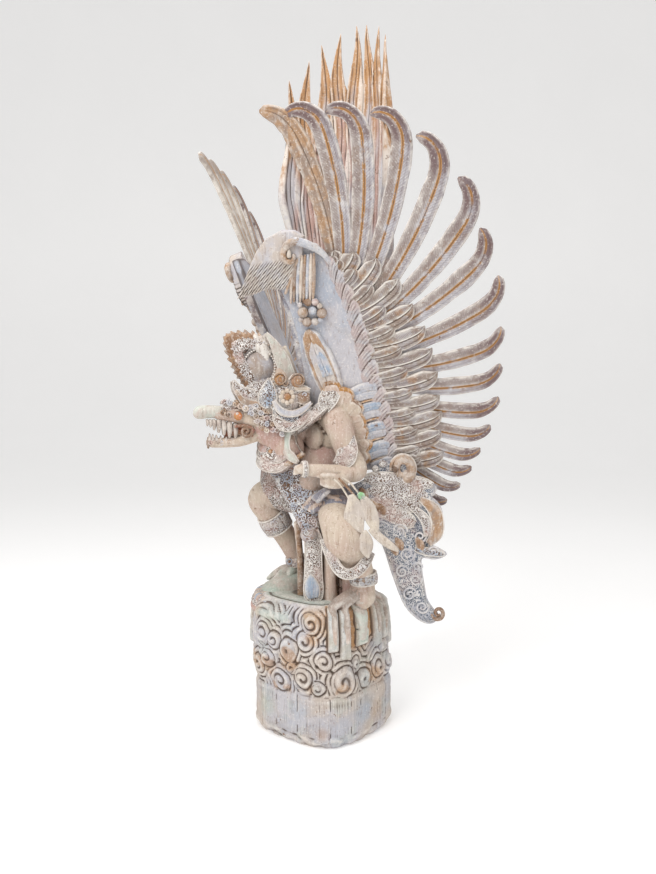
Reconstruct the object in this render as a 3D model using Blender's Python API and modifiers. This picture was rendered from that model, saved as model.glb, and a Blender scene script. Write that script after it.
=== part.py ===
"""Painted wooden garuda statue, in metres, +Z up.

A bird-headed guardian strides on a carved rock base. His body faces -Y, and his own left is +X.
Figure and base are carved from one log. The two wings, the tall fan behind the shoulders and the
two hip sash flares are carved on their own and set into the back and hips.
"""
import math

import bmesh
import bpy
from mathutils import Matrix, Vector

# Driving dimensions of the rock base
BASE_WIDTH = 0.324
BASE_HEIGHT = 0.353
BASE_TURN = math.radians(20)
LIP_HEIGHT = 0.028
BAND_HEIGHT = 0.102
FLUTE_COUNT = 21
FLUTE_DEPTH = 0.004

# Driving dimensions of the figure. Its stations are given for a figure this tall, base to crown,
# and they grow or shrink with FIGURE_HEIGHT.
FIGURE_HEIGHT = 0.690
CARVED_HEIGHT = 0.690
GROW = FIGURE_HEIGHT / CARVED_HEIGHT
STATION_BASE_TOP = 0.335
HEAD_TURN = math.radians(20)

# Driving dimensions of a wing
PRIMARY_COUNT = 16
COVERT_COUNT = 12
WING_TOP_REACH = 0.515
WING_SIDE_REACH = 0.400
WING_LOW_REACH = 0.590
FEATHER_WIDTH = 0.046
FEATHER_THICKNESS = 0.009
COVERT_THICKNESS = 0.014
PLATE_THICKNESS = 0.024
PLATE_LIFT = 0.0021
HOOD_DEPTH = 0.046
LEFT_HOOD_REACH = 0.212
RIGHT_HOOD_REACH = 0.085
WING_CUP = 0.16
LEFT_SWEEP = math.radians(43)
RIGHT_SWEEP = math.radians(49)
LEFT_ROOT = 0.083
RIGHT_ROOT = 0.114
WING_LEAN = math.radians(20)

# Driving dimensions of the fan behind the shoulders
TAIL_FLAMES = 9
TAIL_WIDTH = 0.400
TAIL_CURL_RADIUS = 0.160
TAIL_LENGTH = 1.082
TAIL_STEM_WIDTH = 0.100
TAIL_THICKNESS = 0.022
TAIL_TURN = math.radians(25)

# Driving dimensions of a hip sash flare
SASH_LENGTH = 0.325
SASH_THICKNESS = 0.014
SASH_INSIDE_WING = math.radians(8)
SASH_OUTSIDE_ROOT = 0.035

# Gap that lets pieces touch without sharing a face
FIT_GAP = 0.0004

# Fineness of the carved surface
CARVING_VOXEL = 0.0045
FIGURE_TRIANGLES = 3950

COLOURS = {
    "limewashed_wood": (0.62, 0.56, 0.51, 1.0),
    "wing_paint": (0.58, 0.55, 0.56, 1.0),
    "fan_paint": (0.55, 0.46, 0.43, 1.0),
    "sash_paint": (0.48, 0.50, 0.55, 1.0),
}


def clear_scene():
    for old in list(bpy.data.objects):
        bpy.data.objects.remove(old, do_unlink=True)


def new_collection(name):
    group = bpy.data.collections.new(name)
    bpy.context.scene.collection.children.link(group)
    return group


def paint(name):
    material = bpy.data.materials.new(name)
    material.use_nodes = True
    shader = material.node_tree.nodes["Principled BSDF"]
    shader.inputs["Base Color"].default_value = COLOURS[name]
    shader.inputs["Roughness"].default_value = 0.85
    shader.inputs["Metallic"].default_value = 0.0
    material.diffuse_color = COLOURS[name]
    return material


def smooth_path(stations, steps):
    """Catmull-Rom points through stations of any number of values."""
    rows = [tuple(row) for row in stations]
    path = []
    for i in range(len(rows) - 1):
        a = rows[max(i - 1, 0)]
        b, c = rows[i], rows[i + 1]
        d = rows[min(i + 2, len(rows) - 1)]
        for k in range(steps):
            t = k / steps
            path.append(tuple(
                0.5 * (2 * q + (r - p) * t + (2 * p - 5 * q + 4 * r - s) * t * t
                       + (3 * q - p - 3 * r + s) * t ** 3)
                for p, q, r, s in zip(a, b, c, d)
            ))
    path.append(rows[-1])
    return path


class Carving:
    """A heap of closed shapes that becomes one carved solid."""

    def __init__(self):
        self.mesh = bmesh.new()

    def add_object(self, thing, place=None):
        """Takes in an object's evaluated mesh, welds its caps and removes the object."""
        bpy.context.scene.collection.objects.link(thing)
        graph = bpy.context.evaluated_depsgraph_get()
        data = bpy.data.meshes.new_from_object(thing.evaluated_get(graph))
        if place is not None:
            data.transform(place)
        self.mesh.from_mesh(data)
        bpy.data.objects.remove(thing, do_unlink=True)
        bpy.data.meshes.remove(data)

    def ball(self, centre, radii, turn=None):
        place = Matrix.Translation(centre)
        if turn is not None:
            place = place @ turn
        place = place @ Matrix.Diagonal((*radii, 1.0))
        bmesh.ops.create_uvsphere(self.mesh, u_segments=16, v_segments=10, radius=1.0, matrix=place)

    def limb(self, stations, steps=4, rounded=True):
        """A tapered round limb through stations of x, y, z and radius."""
        path = smooth_path(stations, steps)
        data = bpy.data.curves.new("limb", "CURVE")
        data.dimensions = "3D"
        data.bevel_depth = 1.0
        data.bevel_resolution = 2
        data.use_fill_caps = True
        spline = data.splines.new("POLY")
        spline.points.add(len(path) - 1)
        for point, (x, y, z, radius) in zip(spline.points, path):
            point.co = (x, y, z, 1.0)
            point.radius = max(radius, 0.0008)
        self.add_object(bpy.data.objects.new("limb", data))
        if rounded:
            for x, y, z, radius in (path[0], path[-1]):
                self.ball((x, y, z), (radius, radius, radius))

    def plate(self, outline, thickness, place):
        """A flat outline in x and y, given thickness and then placed."""
        self.add_object(flat_outline(outline, thickness), place)

    def finish(self, name, group, material):
        data = bpy.data.meshes.new(name)
        bmesh.ops.remove_doubles(self.mesh, verts=self.mesh.verts, dist=0.00001)
        bmesh.ops.recalc_face_normals(self.mesh, faces=self.mesh.faces)
        self.mesh.to_mesh(data)
        self.mesh.free()
        data.materials.append(material)
        solid = bpy.data.objects.new(name, data)
        group.objects.link(solid)
        return solid


def flat_outline(outline, thickness):
    data = bpy.data.curves.new("outline", "CURVE")
    data.dimensions = "2D"
    data.fill_mode = "BOTH"
    data.extrude = thickness / 2
    spline = data.splines.new("POLY")
    spline.points.add(len(outline) - 1)
    for point, (x, y) in zip(spline.points, outline):
        point.co = (x, y, 0.0, 1.0)
    spline.use_cyclic_u = True
    return bpy.data.objects.new("outline", data)


def carve(solid, triangles):
    """Fuses the heap into one skin and keeps the given number of triangles."""
    fuse = solid.modifiers.new("fuse", "REMESH")
    fuse.mode = "VOXEL"
    fuse.voxel_size = CARVING_VOXEL
    soften = solid.modifiers.new("soften", "SMOOTH")
    soften.factor = 0.5
    soften.iterations = 2
    graph = bpy.context.evaluated_depsgraph_get()
    fine = len(solid.evaluated_get(graph).data.polygons) * 2
    thin_out = solid.modifiers.new("thin_out", "DECIMATE")
    thin_out.ratio = min(triangles / fine, 1.0)
    thin_out.use_collapse_triangulate = True


def body_point(x, y, z, radius=None):
    """A station of the figure, measured from the middle of the base's top."""
    point = (x * GROW, y * GROW, BASE_HEIGHT + (z - STATION_BASE_TOP) * GROW)
    return point if radius is None else (*point, radius * GROW)


def body_limb(heap, stations, **options):
    heap.limb([body_point(*station) for station in stations], **options)


def body_ball(heap, centre, radii, turn=None):
    heap.ball(body_point(*centre), [radius * GROW for radius in radii], turn)


def base_frame():
    return Matrix.Rotation(BASE_TURN, 4, "Z")


def base_section(half_width, angle, depth=0.0):
    """A point of the rounded square that a level of the base has, cut in by depth."""
    power = 3.2
    c, s = math.cos(angle), math.sin(angle)
    reach = half_width / (abs(c) ** power + abs(s) ** power) ** (1 / power)
    return (reach - depth) * c, (reach - depth) * s


def base_levels():
    """Height, half width and flute depth of each level of the base, from the underside up."""
    half = BASE_WIDTH / 2
    top_of_band = LIP_HEIGHT + BAND_HEIGHT
    rise = BASE_HEIGHT - top_of_band
    return [
        (0.0, half - 0.006, 0.0),
        (0.008, half + 0.002, 0.0),
        (LIP_HEIGHT - 0.006, half + 0.002, 0.0),
        (LIP_HEIGHT, half - 0.004, 0.0),
        (LIP_HEIGHT + 0.008, half - 0.004, FLUTE_DEPTH),
        (top_of_band - 0.008, half - 0.006, FLUTE_DEPTH),
        (top_of_band, half - 0.010, 0.0),
        (top_of_band + 0.10 * rise, half - 0.004, 0.0),
        (top_of_band + 0.35 * rise, half - 0.002, 0.0),
        (top_of_band + 0.70 * rise, half - 0.004, 0.0),
        (top_of_band + 0.92 * rise, half - 0.012, 0.0),
        (BASE_HEIGHT, half - 0.030, 0.0),
    ]


def base_block(heap):
    """The log of the base: a lip, a band of upright flutes and the rock above them."""
    per_flute = 8
    around = FLUTE_COUNT * per_flute
    rings = []
    for height, half_width, flute in base_levels():
        ring = []
        for k in range(around):
            angle = 2 * math.pi * k / around
            groove = flute * (1 - abs(math.sin(math.pi * k / per_flute))) ** 3
            x, y = base_section(half_width, angle, groove)
            ring.append(heap.mesh.verts.new(base_frame() @ Vector((x, y, height))))
        rings.append(ring)
    for low, high in zip(rings, rings[1:]):
        for k in range(around):
            after = (k + 1) % around
            heap.mesh.faces.new((low[k], low[after], high[after], high[k]))
    heap.mesh.faces.new(list(reversed(rings[0])))
    heap.mesh.faces.new(rings[-1])


def face_point(side, along, height, out):
    """A point on one of the base's four sides: side 0 is the front, and 1 the figure's left."""
    turn = base_frame() @ Matrix.Rotation(side * math.pi / 2, 4, "Z")
    return turn @ Vector((along, -BASE_WIDTH / 2 - out, height))


def scroll(heap, side, along, height, radius, turns, hand, thickness):
    """A raised spiral on a side of the base."""
    stations = []
    count = int(turns * 10)
    for k in range(count + 1):
        share = k / count
        angle = hand * 2 * math.pi * turns * share + math.pi / 3
        r = radius * (1 - 0.80 * share)
        lift = 0.001 + 0.008 * share
        x, y, z = face_point(side, along + r * math.cos(angle), height + r * math.sin(angle), lift)
        stations.append((x, y, z, thickness * (1 - 0.35 * share)))
    heap.limb(stations, steps=1)


def base_carving(heap):
    """Cloud scrolls on the four sides, and the billows under the top edge."""
    half = BASE_WIDTH / 2
    top = BASE_HEIGHT
    for side in range(4):
        scroll(heap, side, -0.52 * half, 0.47 * top, 0.030, 1.6, 1, 0.009)
        scroll(heap, side, 0.02 * half, 0.45 * top, 0.026, 1.5, -1, 0.008)
        scroll(heap, side, 0.66 * half, 0.52 * top, 0.036, 1.7, -1, 0.010)
        scroll(heap, side, 0.25 * half, 0.68 * top, 0.026, 1.4, 1, 0.008)
        for k in range(6):
            along = half * (-0.85 + 0.34 * k)
            x, y, z = face_point(side, along, top - 0.016, -0.020)
            heap.ball((x, y, z), (0.024, 0.024, 0.016))
        x, y, z = face_point(side, -0.62 * half, 0.78 * top, -0.008)
        heap.ball((x, y, z), (0.042, 0.030, 0.042))
    body_ball(heap, (-0.105, -0.060, 0.318), (0.066, 0.082, 0.036))


def leg_and_foot(heap):
    """The left leg bent under him with its talons over the edge, the right one stepping forward."""
    body_limb(heap, [(0.050, 0.012, 0.590, 0.060), (0.110, -0.030, 0.580, 0.058),
                     (0.158, -0.052, 0.548, 0.050), (0.156, -0.012, 0.490, 0.038),
                     (0.146, 0.030, 0.430, 0.031), (0.140, 0.048, 0.395, 0.027),
                     (0.140, 0.046, 0.350, 0.032)])
    body_limb(heap, [(-0.050, 0.005, 0.590, 0.056), (-0.095, -0.080, 0.606, 0.051),
                     (-0.122, -0.142, 0.600, 0.041), (-0.122, -0.106, 0.540, 0.034),
                     (-0.121, -0.058, 0.455, 0.028), (-0.120, -0.025, 0.390, 0.023),
                     (-0.118, -0.024, 0.345, 0.028)])
    for ring_x, ring_y, ring_z, ring in ((0.141, 0.046, 0.400, 0.036), (-0.120, -0.028, 0.394, 0.030)):
        body_ball(heap, (ring_x, ring_y, ring_z), (ring, ring, 0.010))
    talons(heap)


def talons(heap):
    """Long toes: five of the left foot grip the base's edge, four of the right lie on the rock."""
    half = BASE_WIDTH / 2
    for along, side in ((0.80, 0), (-0.78, 1), (-0.42, 1), (-0.05, 1), (0.32, 1)):
        x, y, z = face_point(side, along * half, BASE_HEIGHT - 0.006, -0.010)
        low = face_point(side, along * half, 0.70 * BASE_HEIGHT, 0.006)
        end = face_point(side, along * half, 0.58 * BASE_HEIGHT, 0.000)
        heel = Vector(body_point(0.142, 0.036, 0.352))
        middle = heel.lerp(Vector((x, y, z)), 0.55)
        heap.limb([(*heel, 0.020), (*middle, 0.016), (x, y, z + 0.010, 0.015),
                   (*low, 0.014), (*end, 0.007)])
    for spread in (-0.9, -0.3, 0.3, 0.9):
        tip = (-0.118 + 0.050 * math.sin(spread), -0.024 - 0.075 * math.cos(spread), 0.348)
        body_limb(heap, [(-0.118, -0.026, 0.362, 0.018), (*[(a + b) / 2 for a, b in
                         zip((-0.118, -0.026, 0.372), tip)], 0.013), (*tip, 0.006)])


def torso_and_arms(heap):
    body_ball(heap, (0.0, 0.005, 0.590), (0.082, 0.070, 0.058))
    body_ball(heap, (0.0, -0.018, 0.645), (0.066, 0.062, 0.055))
    body_ball(heap, (0.0, 0.000, 0.745), (0.086, 0.062, 0.078))
    body_limb(heap, [(-0.100, 0.000, 0.796, 0.042), (0.0, 0.010, 0.806, 0.046),
                     (0.100, 0.000, 0.796, 0.042)])
    body_limb(heap, [(0.0, -0.020, 0.790, 0.050), (0.0, -0.080, 0.765, 0.047),
                     (-0.006, -0.128, 0.762, 0.042), (-0.016, -0.168, 0.786, 0.040)])
    body_limb(heap, [(0.112, -0.006, 0.796, 0.044), (0.140, 0.018, 0.735, 0.035),
                     (0.150, 0.036, 0.676, 0.031), (0.134, -0.020, 0.668, 0.028),
                     (0.114, -0.072, 0.670, 0.019), (0.104, -0.104, 0.664, 0.022)])
    body_limb(heap, [(-0.112, -0.006, 0.796, 0.042), (-0.148, 0.004, 0.735, 0.034),
                     (-0.150, -0.014, 0.682, 0.030), (-0.104, -0.062, 0.674, 0.025),
                     (-0.056, -0.098, 0.682, 0.019), (-0.034, -0.108, 0.690, 0.021)])
    for side in (1, -1):
        body_ball(heap, (0.146 * side, 0.024, 0.712), (0.037, 0.037, 0.014))
        body_ball(heap, (0.098 * side, -0.004, 0.822), (0.040, 0.036, 0.014))
    for spread in (-0.020, -0.007, 0.006, 0.019):
        body_limb(heap, [(0.104, -0.108, 0.664 + spread, 0.008),
                         (0.090, -0.138, 0.662 + 1.4 * spread, 0.006)])
        body_limb(heap, [(-0.034, -0.108, 0.690 + spread, 0.008),
                         (-0.004, -0.120, 0.690 + spread, 0.006)])
    body_limb(heap, [(-0.010, -0.124, 0.676, 0.008), (-0.006, -0.100, 0.710, 0.010),
                     (0.004, -0.082, 0.745, 0.011), (0.002, -0.074, 0.775, 0.008)])


def cloth(heap):
    """The belt, the loincloth's knot and lappet, and the folds that fall behind the legs."""
    belt = [(0.084 * math.cos(a), 0.005 + 0.072 * math.sin(a), 0.612, 0.013)
            for a in [2 * math.pi * k / 12 for k in range(13)]]
    body_limb(heap, belt, steps=2, rounded=False)
    body_ball(heap, (0.018, -0.078, 0.545), (0.032, 0.020, 0.030))
    for k in range(3):
        x = 0.010 + 0.017 * k
        body_limb(heap, [(x, -0.068, 0.560, 0.012), (x + 0.006, -0.076, 0.470, 0.013),
                         (x + 0.010, -0.082, 0.385, 0.014), (x + 0.012, -0.086, 0.322, 0.011)])
    body_limb(heap, [(0.046, -0.030, 0.560, 0.020), (0.060, -0.026, 0.440, 0.018),
                     (0.064, -0.026, 0.330, 0.020)])
    for k in range(5):
        x = -0.052 + 0.026 * k
        body_limb(heap, [(0.8 * x, 0.056, 0.600, 0.020), (x, 0.066, 0.470, 0.021),
                         (1.15 * x, 0.070, 0.325, 0.024)])


def head_frame():
    """Forward along -Y before the turn, figure's left along +X, from the middle of the skull."""
    return (Matrix.Translation(body_point(-0.020, -0.200, 0.810))
            @ Matrix.Rotation(-HEAD_TURN, 4, "Z") @ Matrix.Scale(GROW, 4))


def head_limb(heap, stations, **options):
    """Stations of forward, up, side and radius."""
    frame = head_frame()
    placed = []
    for forward, up, side, radius in stations:
        x, y, z = frame @ Vector((side, -forward, up))
        placed.append((x, y, z, radius * GROW))
    heap.limb(placed, **options)


def head_ball(heap, forward, up, side, radii):
    turn = Matrix.Rotation(-HEAD_TURN, 4, "Z")
    heap.ball(head_frame() @ Vector((side, -forward, up)), [r * GROW for r in radii], turn)


def head(heap):
    """Skull, hooked upper beak, open lower beak, fangs, eyes under curled brows."""
    head_ball(heap, -0.012, -0.004, 0.0, (0.044, 0.056, 0.042))
    for side in (-0.008, 0.008):
        head_limb(heap, [(0.010, 0.000, side, 0.028), (0.060, -0.002, side, 0.020),
                         (0.105, 0.008, 0.8 * side, 0.015), (0.132, 0.014, 0.6 * side, 0.013),
                         (0.145, 0.008, 0.4 * side, 0.008)])
        head_limb(heap, [(-0.020, -0.040, side, 0.024), (0.030, -0.060, side, 0.017),
                         (0.075, -0.066, 0.8 * side, 0.012), (0.106, -0.056, 0.5 * side, 0.009)])
        head_ball(heap, 0.026, 0.006, 4.0 * side, (0.012, 0.014, 0.014))
        head_limb(heap, [(0.030, -0.016, 2.6 * side, 0.007), (0.032, -0.050, 2.6 * side, 0.003)])
        for k in range(4):
            forward = 0.052 + 0.014 * k
            head_limb(heap, [(forward, -0.016, 1.6 * side, 0.005),
                             (forward + 0.002, -0.034, 1.6 * side, 0.002)])
        head_limb(heap, [(0.060, 0.020, 2.4 * side, 0.007), (0.040, 0.040, 3.4 * side, 0.010),
                         (0.010, 0.040, 4.4 * side, 0.010), (-0.010, 0.020, 4.6 * side, 0.008)])


def crest_outline():
    """The crown's crest seen from the side: forward and up, with flame teeth along its edge."""
    rim = smooth_path([(0.018, 0.086), (0.038, 0.130), (0.058, 0.192), (0.018, 0.216),
                       (-0.034, 0.210), (-0.062, 0.160)], 4)
    edge = []
    for before, after in zip(rim, rim[1:]):
        middle = Vector(before).lerp(Vector(after), 0.6)
        away = (middle - Vector((-0.030, 0.126))).normalized()
        edge.append(before)
        edge.append(tuple(middle + 0.010 * away))
    return edge + [rim[-1], (-0.050, 0.110), (-0.010, 0.080)]


def crown(heap):
    """A toothed crest with a smooth bowl in each side, a band on the brow and ear ornaments."""
    side_on = (head_frame() @ Matrix.Rotation(math.pi, 4, "Z") @ Matrix.Rotation(math.pi / 2, 4, "Z")
               @ Matrix.Rotation(math.pi / 2, 4, "X"))
    heap.plate(crest_outline(), 0.034, side_on)
    head_ball(heap, -0.032, 0.126, 0.0, (0.034, 0.040, 0.042))
    head_ball(heap, -0.034, 0.062, 0.0, (0.050, 0.056, 0.040))
    for k in range(7):
        angle = math.pi * (k / 6 - 0.5)
        ahead = math.cos(angle)
        forward, side = -0.030 + 0.058 * ahead, 0.050 * math.sin(angle)
        head_limb(heap, [(forward, 0.040, side, 0.012), (forward + 0.012 * ahead, 0.062, side, 0.011),
                         (forward + 0.022 * ahead, 0.092, 1.1 * side, 0.004)])
    for side in (-1, 1):
        head_ball(heap, -0.104, 0.046, 0.044 * side, (0.018, 0.046, 0.044))
        for forward, up, radius in ((-0.080, 0.090, 0.017), (-0.122, 0.088, 0.019), (-0.146, 0.044, 0.015)):
            head_ball(heap, forward, up, 0.046 * side, (0.016, radius, radius))
        head_limb(heap, [(-0.060, 0.010, 0.050 * side, 0.012), (-0.090, -0.012, 0.054 * side, 0.016),
                         (-0.124, -0.010, 0.056 * side, 0.014), (-0.156, 0.014, 0.056 * side, 0.004)])
    head_limb(heap, [(-0.050, 0.030, 0.0, 0.052), (-0.090, 0.010, 0.0, 0.046), (-0.108, -0.040, 0.0, 0.044)])


def wing_root(side):
    """How far out from the spine a wing is set into the back."""
    return LEFT_ROOT if side > 0 else RIGHT_ROOT


def wing_frame(side):
    """Wing plane: x back along the wing, y up it, z its outer face for the left wing."""
    sweep = LEFT_SWEEP if side > 0 else RIGHT_SWEEP
    back = Vector((side * math.sin(sweep), math.cos(sweep), 0.0))
    up = Vector((side * math.sin(WING_LEAN) * math.cos(sweep),
                 -math.sin(WING_LEAN) * math.sin(sweep), math.cos(WING_LEAN)))
    outward = back.cross(up)
    root = Vector(body_point(side * wing_root(side), 0.044, 0.750))
    frame = Matrix((back, up, outward)).transposed().to_4x4()
    return Matrix.Translation(root) @ frame


def primary_angles():
    """Angles of the flight feathers' tips about the wing's middle, wide apart at the back."""
    spacing = [1.0 + 1.9 * math.exp(-((i - 6.6 * PRIMARY_COUNT / 16) / 3.6) ** 2)
               for i in range(1, PRIMARY_COUNT)]
    first, last = math.radians(106.5), math.radians(-60.4)
    angles = [first]
    for step in spacing:
        angles.append(angles[-1] + (last - first) * step / sum(spacing))
    return angles


def tip_reach(angle):
    far = WING_TOP_REACH if angle > 0 else WING_LOW_REACH
    return WING_SIDE_REACH + (far - WING_SIDE_REACH) * math.sin(angle) ** 2


def wing_middle():
    return Vector((-0.020, 0.300))


def wing_point(radius, angle):
    return wing_middle() + radius * Vector((math.cos(angle), math.sin(angle)))


def covert_reach(angle):
    """Radius where the covert tips end, longer toward the foot of the wing."""
    share = min(max((math.radians(85) - angle) / math.radians(136), 0.0), 1.0)
    return 0.172 + 0.235 * share ** 4.5


def blade(spine, half_widths):
    """Outline of a feather about its spine; the last half width is its point."""
    left, right = [], []
    for k, point in enumerate(spine):
        before, after = spine[max(k - 1, 0)], spine[min(k + 1, len(spine) - 1)]
        along = (after - before).normalized()
        across = Vector((-along.y, along.x))
        left.append(point + across * half_widths[k])
        right.append(point - across * half_widths[k])
    return [tuple(p) for p in left[:-1]] + [tuple(spine[-1])] + [tuple(p) for p in reversed(right[:-1])]


def root_turn(angle):
    """How far a flight feather's root is turned back from its tip, most at the back of the fan."""
    return math.radians(32) * math.exp(-((math.degrees(angle) - 45) / 75) ** 2)


def primary_spine(angle, steps):
    """A feather's middle line, which hooks forward more and more toward the tip."""
    reach, turn = tip_reach(angle), root_turn(angle)
    start = 0.60 * covert_reach(angle - turn)
    return [wing_point(start + (reach - start) * t, angle - turn * (1 - t * t))
            for t in [k / steps for k in range(steps + 1)]]


def primary_feather(angle):
    shares = (0.30, 0.40, 0.48, 0.52, 0.54, 0.52, 0.46, 0.32, 0.0)
    width = FEATHER_WIDTH * (0.84 + 0.20 * math.sin(max(angle, 0.0)))
    return blade(primary_spine(angle, len(shares) - 1), [width * share for share in shares])


def covert_feather(angle):
    steps = 4
    reach = covert_reach(angle) * 1.04
    spine = [wing_point(reach * (0.25 + 0.75 * t), angle - 0.20 * (1 - t * t))
             for t in [k / steps for k in range(steps + 1)]]
    return blade(spine, [0.021, 0.024, 0.026, 0.022, 0.0])


def drawn_in(outline, side):
    """The front of a left wing's outline, or the same drawn in for the shorter right hood."""
    front = -0.050
    share = (LEFT_HOOD_REACH if side > 0 else RIGHT_HOOD_REACH) / LEFT_HOOD_REACH
    return [(front + share * (x - front) if x < front and y > 0.30 else x, y) for x, y in outline]


def shoulder_plate(side):
    """Outline of the smooth shoulder of the wing, from the hood down to where it meets the back."""
    return drawn_in([(-0.226, 0.506), (-0.170, 0.520), (-0.100, 0.520), (-0.024, 0.500),
                     (0.024, 0.430), (0.062, 0.340), (0.096, 0.240), (0.130, 0.120),
                     (0.158, 0.000), (0.176, -0.085), (0.120, -0.096), (0.040, -0.082),
                     (0.028, 0.040), (-0.020, 0.130), (-0.092, 0.180), (-0.120, 0.280),
                     (-0.150, 0.380), (-0.238, 0.396), (-0.252, 0.450)], side)


def grown(outline, by):
    """The same outline, every corner moved out by a distance."""
    moved = []
    for k, corner in enumerate(outline):
        before, after = Vector(outline[k - 1]), Vector(outline[(k + 1) % len(outline)])
        along = (after - before).normalized()
        moved.append((corner[0] - by * along.y, corner[1] + by * along.x))
    return moved


def hood_outline(side):
    """The combed crest that rolls over the front of the shoulder, its locks ending in a wavy edge."""
    locks = 7
    top = smooth_path([(-0.250, 0.470), (-0.215, 0.508), (-0.130, 0.528), (-0.050, 0.505)], 3)
    wave = []
    for k in range(locks + 1):
        share = k / locks
        x, y = -0.262 + 0.160 * share, 0.392 + 0.052 * share
        wave.append((x, y - 0.006))
        if k < locks:
            wave.append((x + 0.08 / locks, y + 0.006))
    return drawn_in(list(top) + [(-0.060, 0.450)] + list(reversed(wave)), side)


def wing_heap(side):
    """Feather by feather, each a little prouder than the one before, so no two faces coincide."""
    step = 0.0005 * side
    pieces = []
    for i, angle in enumerate(primary_angles()):
        pieces.append((primary_feather(angle), FEATHER_THICKNESS, step * (i - PRIMARY_COUNT / 2)))
    first, last = math.radians(88), math.radians(-52)
    for i in range(COVERT_COUNT):
        angle = first + (last - first) * i / (COVERT_COUNT - 1)
        pieces.append((covert_feather(angle), COVERT_THICKNESS, side * 0.0065 + 0.31 * step * i))
    pieces.append((shoulder_plate(side), PLATE_THICKNESS, side * PLATE_LIFT))
    pieces.append((hood_outline(side), HOOD_DEPTH, side * (HOOD_DEPTH / 2 - 0.006)))
    return pieces


def cup(solid, side):
    """Curls the outer feathers forward, so the wing is hollow towards the front."""
    for vertex in solid.data.vertices:
        x, y = vertex.co.x - 0.05, vertex.co.y - 0.20
        vertex.co.z += side * WING_CUP * (max(-x, 0.0) ** 2 - 0.25 * max(x, 0.0) ** 2)


def fused(name, pieces, group, tools, material, place):
    """Joins flat pieces, each with its own thickness and lift, into one solid."""
    solids = []
    for outline, thickness, lift in pieces:
        heap = Carving()
        heap.plate(outline, thickness, Matrix.Translation((0, 0, lift)))
        label, home = (name + "_more", tools) if solids else (name, group)
        solids.append(heap.finish(label, home, material))
    keeper = solids[0]
    more = new_collection(name + "_joined")
    more.hide_render = True
    for other in solids[1:]:
        tools.objects.unlink(other)
        more.objects.link(other)
        other.hide_render = True
        other.display_type = "WIRE"
    join = keeper.modifiers.new("join", "BOOLEAN")
    join.operation = "UNION"
    join.operand_type = "COLLECTION"
    join.collection = more
    graph = bpy.context.evaluated_depsgraph_get()
    whole = bpy.data.meshes.new_from_object(keeper.evaluated_get(graph))
    keeper.modifiers.clear()
    keeper.data = whole
    for other in solids[1:]:
        bpy.data.objects.remove(other, do_unlink=True)
    bpy.data.collections.remove(more)
    keeper.matrix_world = place
    return keeper


def wing(side, group, tools, material):
    name = "left_wing" if side > 0 else "right_wing"
    solid = fused(name, wing_heap(side), group, tools, material, wing_frame(side))
    cup(solid, side)
    return solid


def tail_frame():
    """Middle of the fan's foot: x to the figure's left, y up and z to the front."""
    return (Matrix.Translation(body_point(0.012, 0.100, 0.760)) @ Matrix.Rotation(TAIL_TURN, 4, "Z")
            @ Matrix.Rotation(math.pi / 2, 4, "X"))


def flame_height(across):
    """Top of the fan at a place from -1 to 1 across it: one flame after another, tallest inside."""
    place = (across + 1) / 2 * TAIL_FLAMES
    index = min(int(place), TAIL_FLAMES - 1)
    middle = (2 * index + 1) / TAIL_FLAMES - 1
    tallest = 1 - middle ** 2
    foot, tip = 0.68 + 0.17 * tallest, 0.84 + 0.16 * tallest
    share = 1 - abs(place - index - 0.5) * 2
    return foot + (tip - foot) * share ** 1.3


def fan_levels(across):
    """Height and width share of each level of the fan at a place across it."""
    stem = TAIL_STEM_WIDTH / TAIL_WIDTH
    return [(-0.09, stem), (0.12, stem), (0.30, 0.45), (0.44, 0.85), (0.58, 1.0),
            (flame_height(across), 1.0)]


def tail_fan(group, material):
    """A curved panel on a narrow stem, crowned by flames, bent about an upright axis before it."""
    heap = bmesh.new()
    columns = []
    count = TAIL_FLAMES * 4
    for k in range(count + 1):
        across = 2 * k / count - 1
        column = []
        for height, width in fan_levels(across):
            angle = across * width * TAIL_WIDTH / 2 / TAIL_CURL_RADIUS
            column.append(heap.verts.new((TAIL_CURL_RADIUS * math.sin(angle), height * TAIL_LENGTH,
                                          TAIL_CURL_RADIUS * (1 - math.cos(angle)))))
        columns.append(column)
    for left, right in zip(columns, columns[1:]):
        for j in range(len(left) - 1):
            heap.faces.new((left[j], right[j], right[j + 1], left[j + 1]))
    data = bpy.data.meshes.new("tail_fan")
    heap.to_mesh(data)
    heap.free()
    data.materials.append(material)
    fan = bpy.data.objects.new("tail_fan", data)
    group.objects.link(fan)
    fan.matrix_world = tail_frame()
    thick = fan.modifiers.new("thickness", "SOLIDIFY")
    thick.thickness = TAIL_THICKNESS
    thick.offset = -1.0
    return fan


def sash_frame(side):
    origin = Vector(body_point(side * (wing_root(side) + SASH_OUTSIDE_ROOT), 0.040, 0.600))
    sweep = (LEFT_SWEEP if side > 0 else RIGHT_SWEEP) - SASH_INSIDE_WING
    back = Vector((side * math.sin(sweep), math.cos(sweep), 0.0))
    frame = Matrix((back, Vector((0, 0, 1)), back.cross(Vector((0, 0, 1))))).transposed().to_4x4()
    return Matrix.Translation(origin) @ frame


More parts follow.
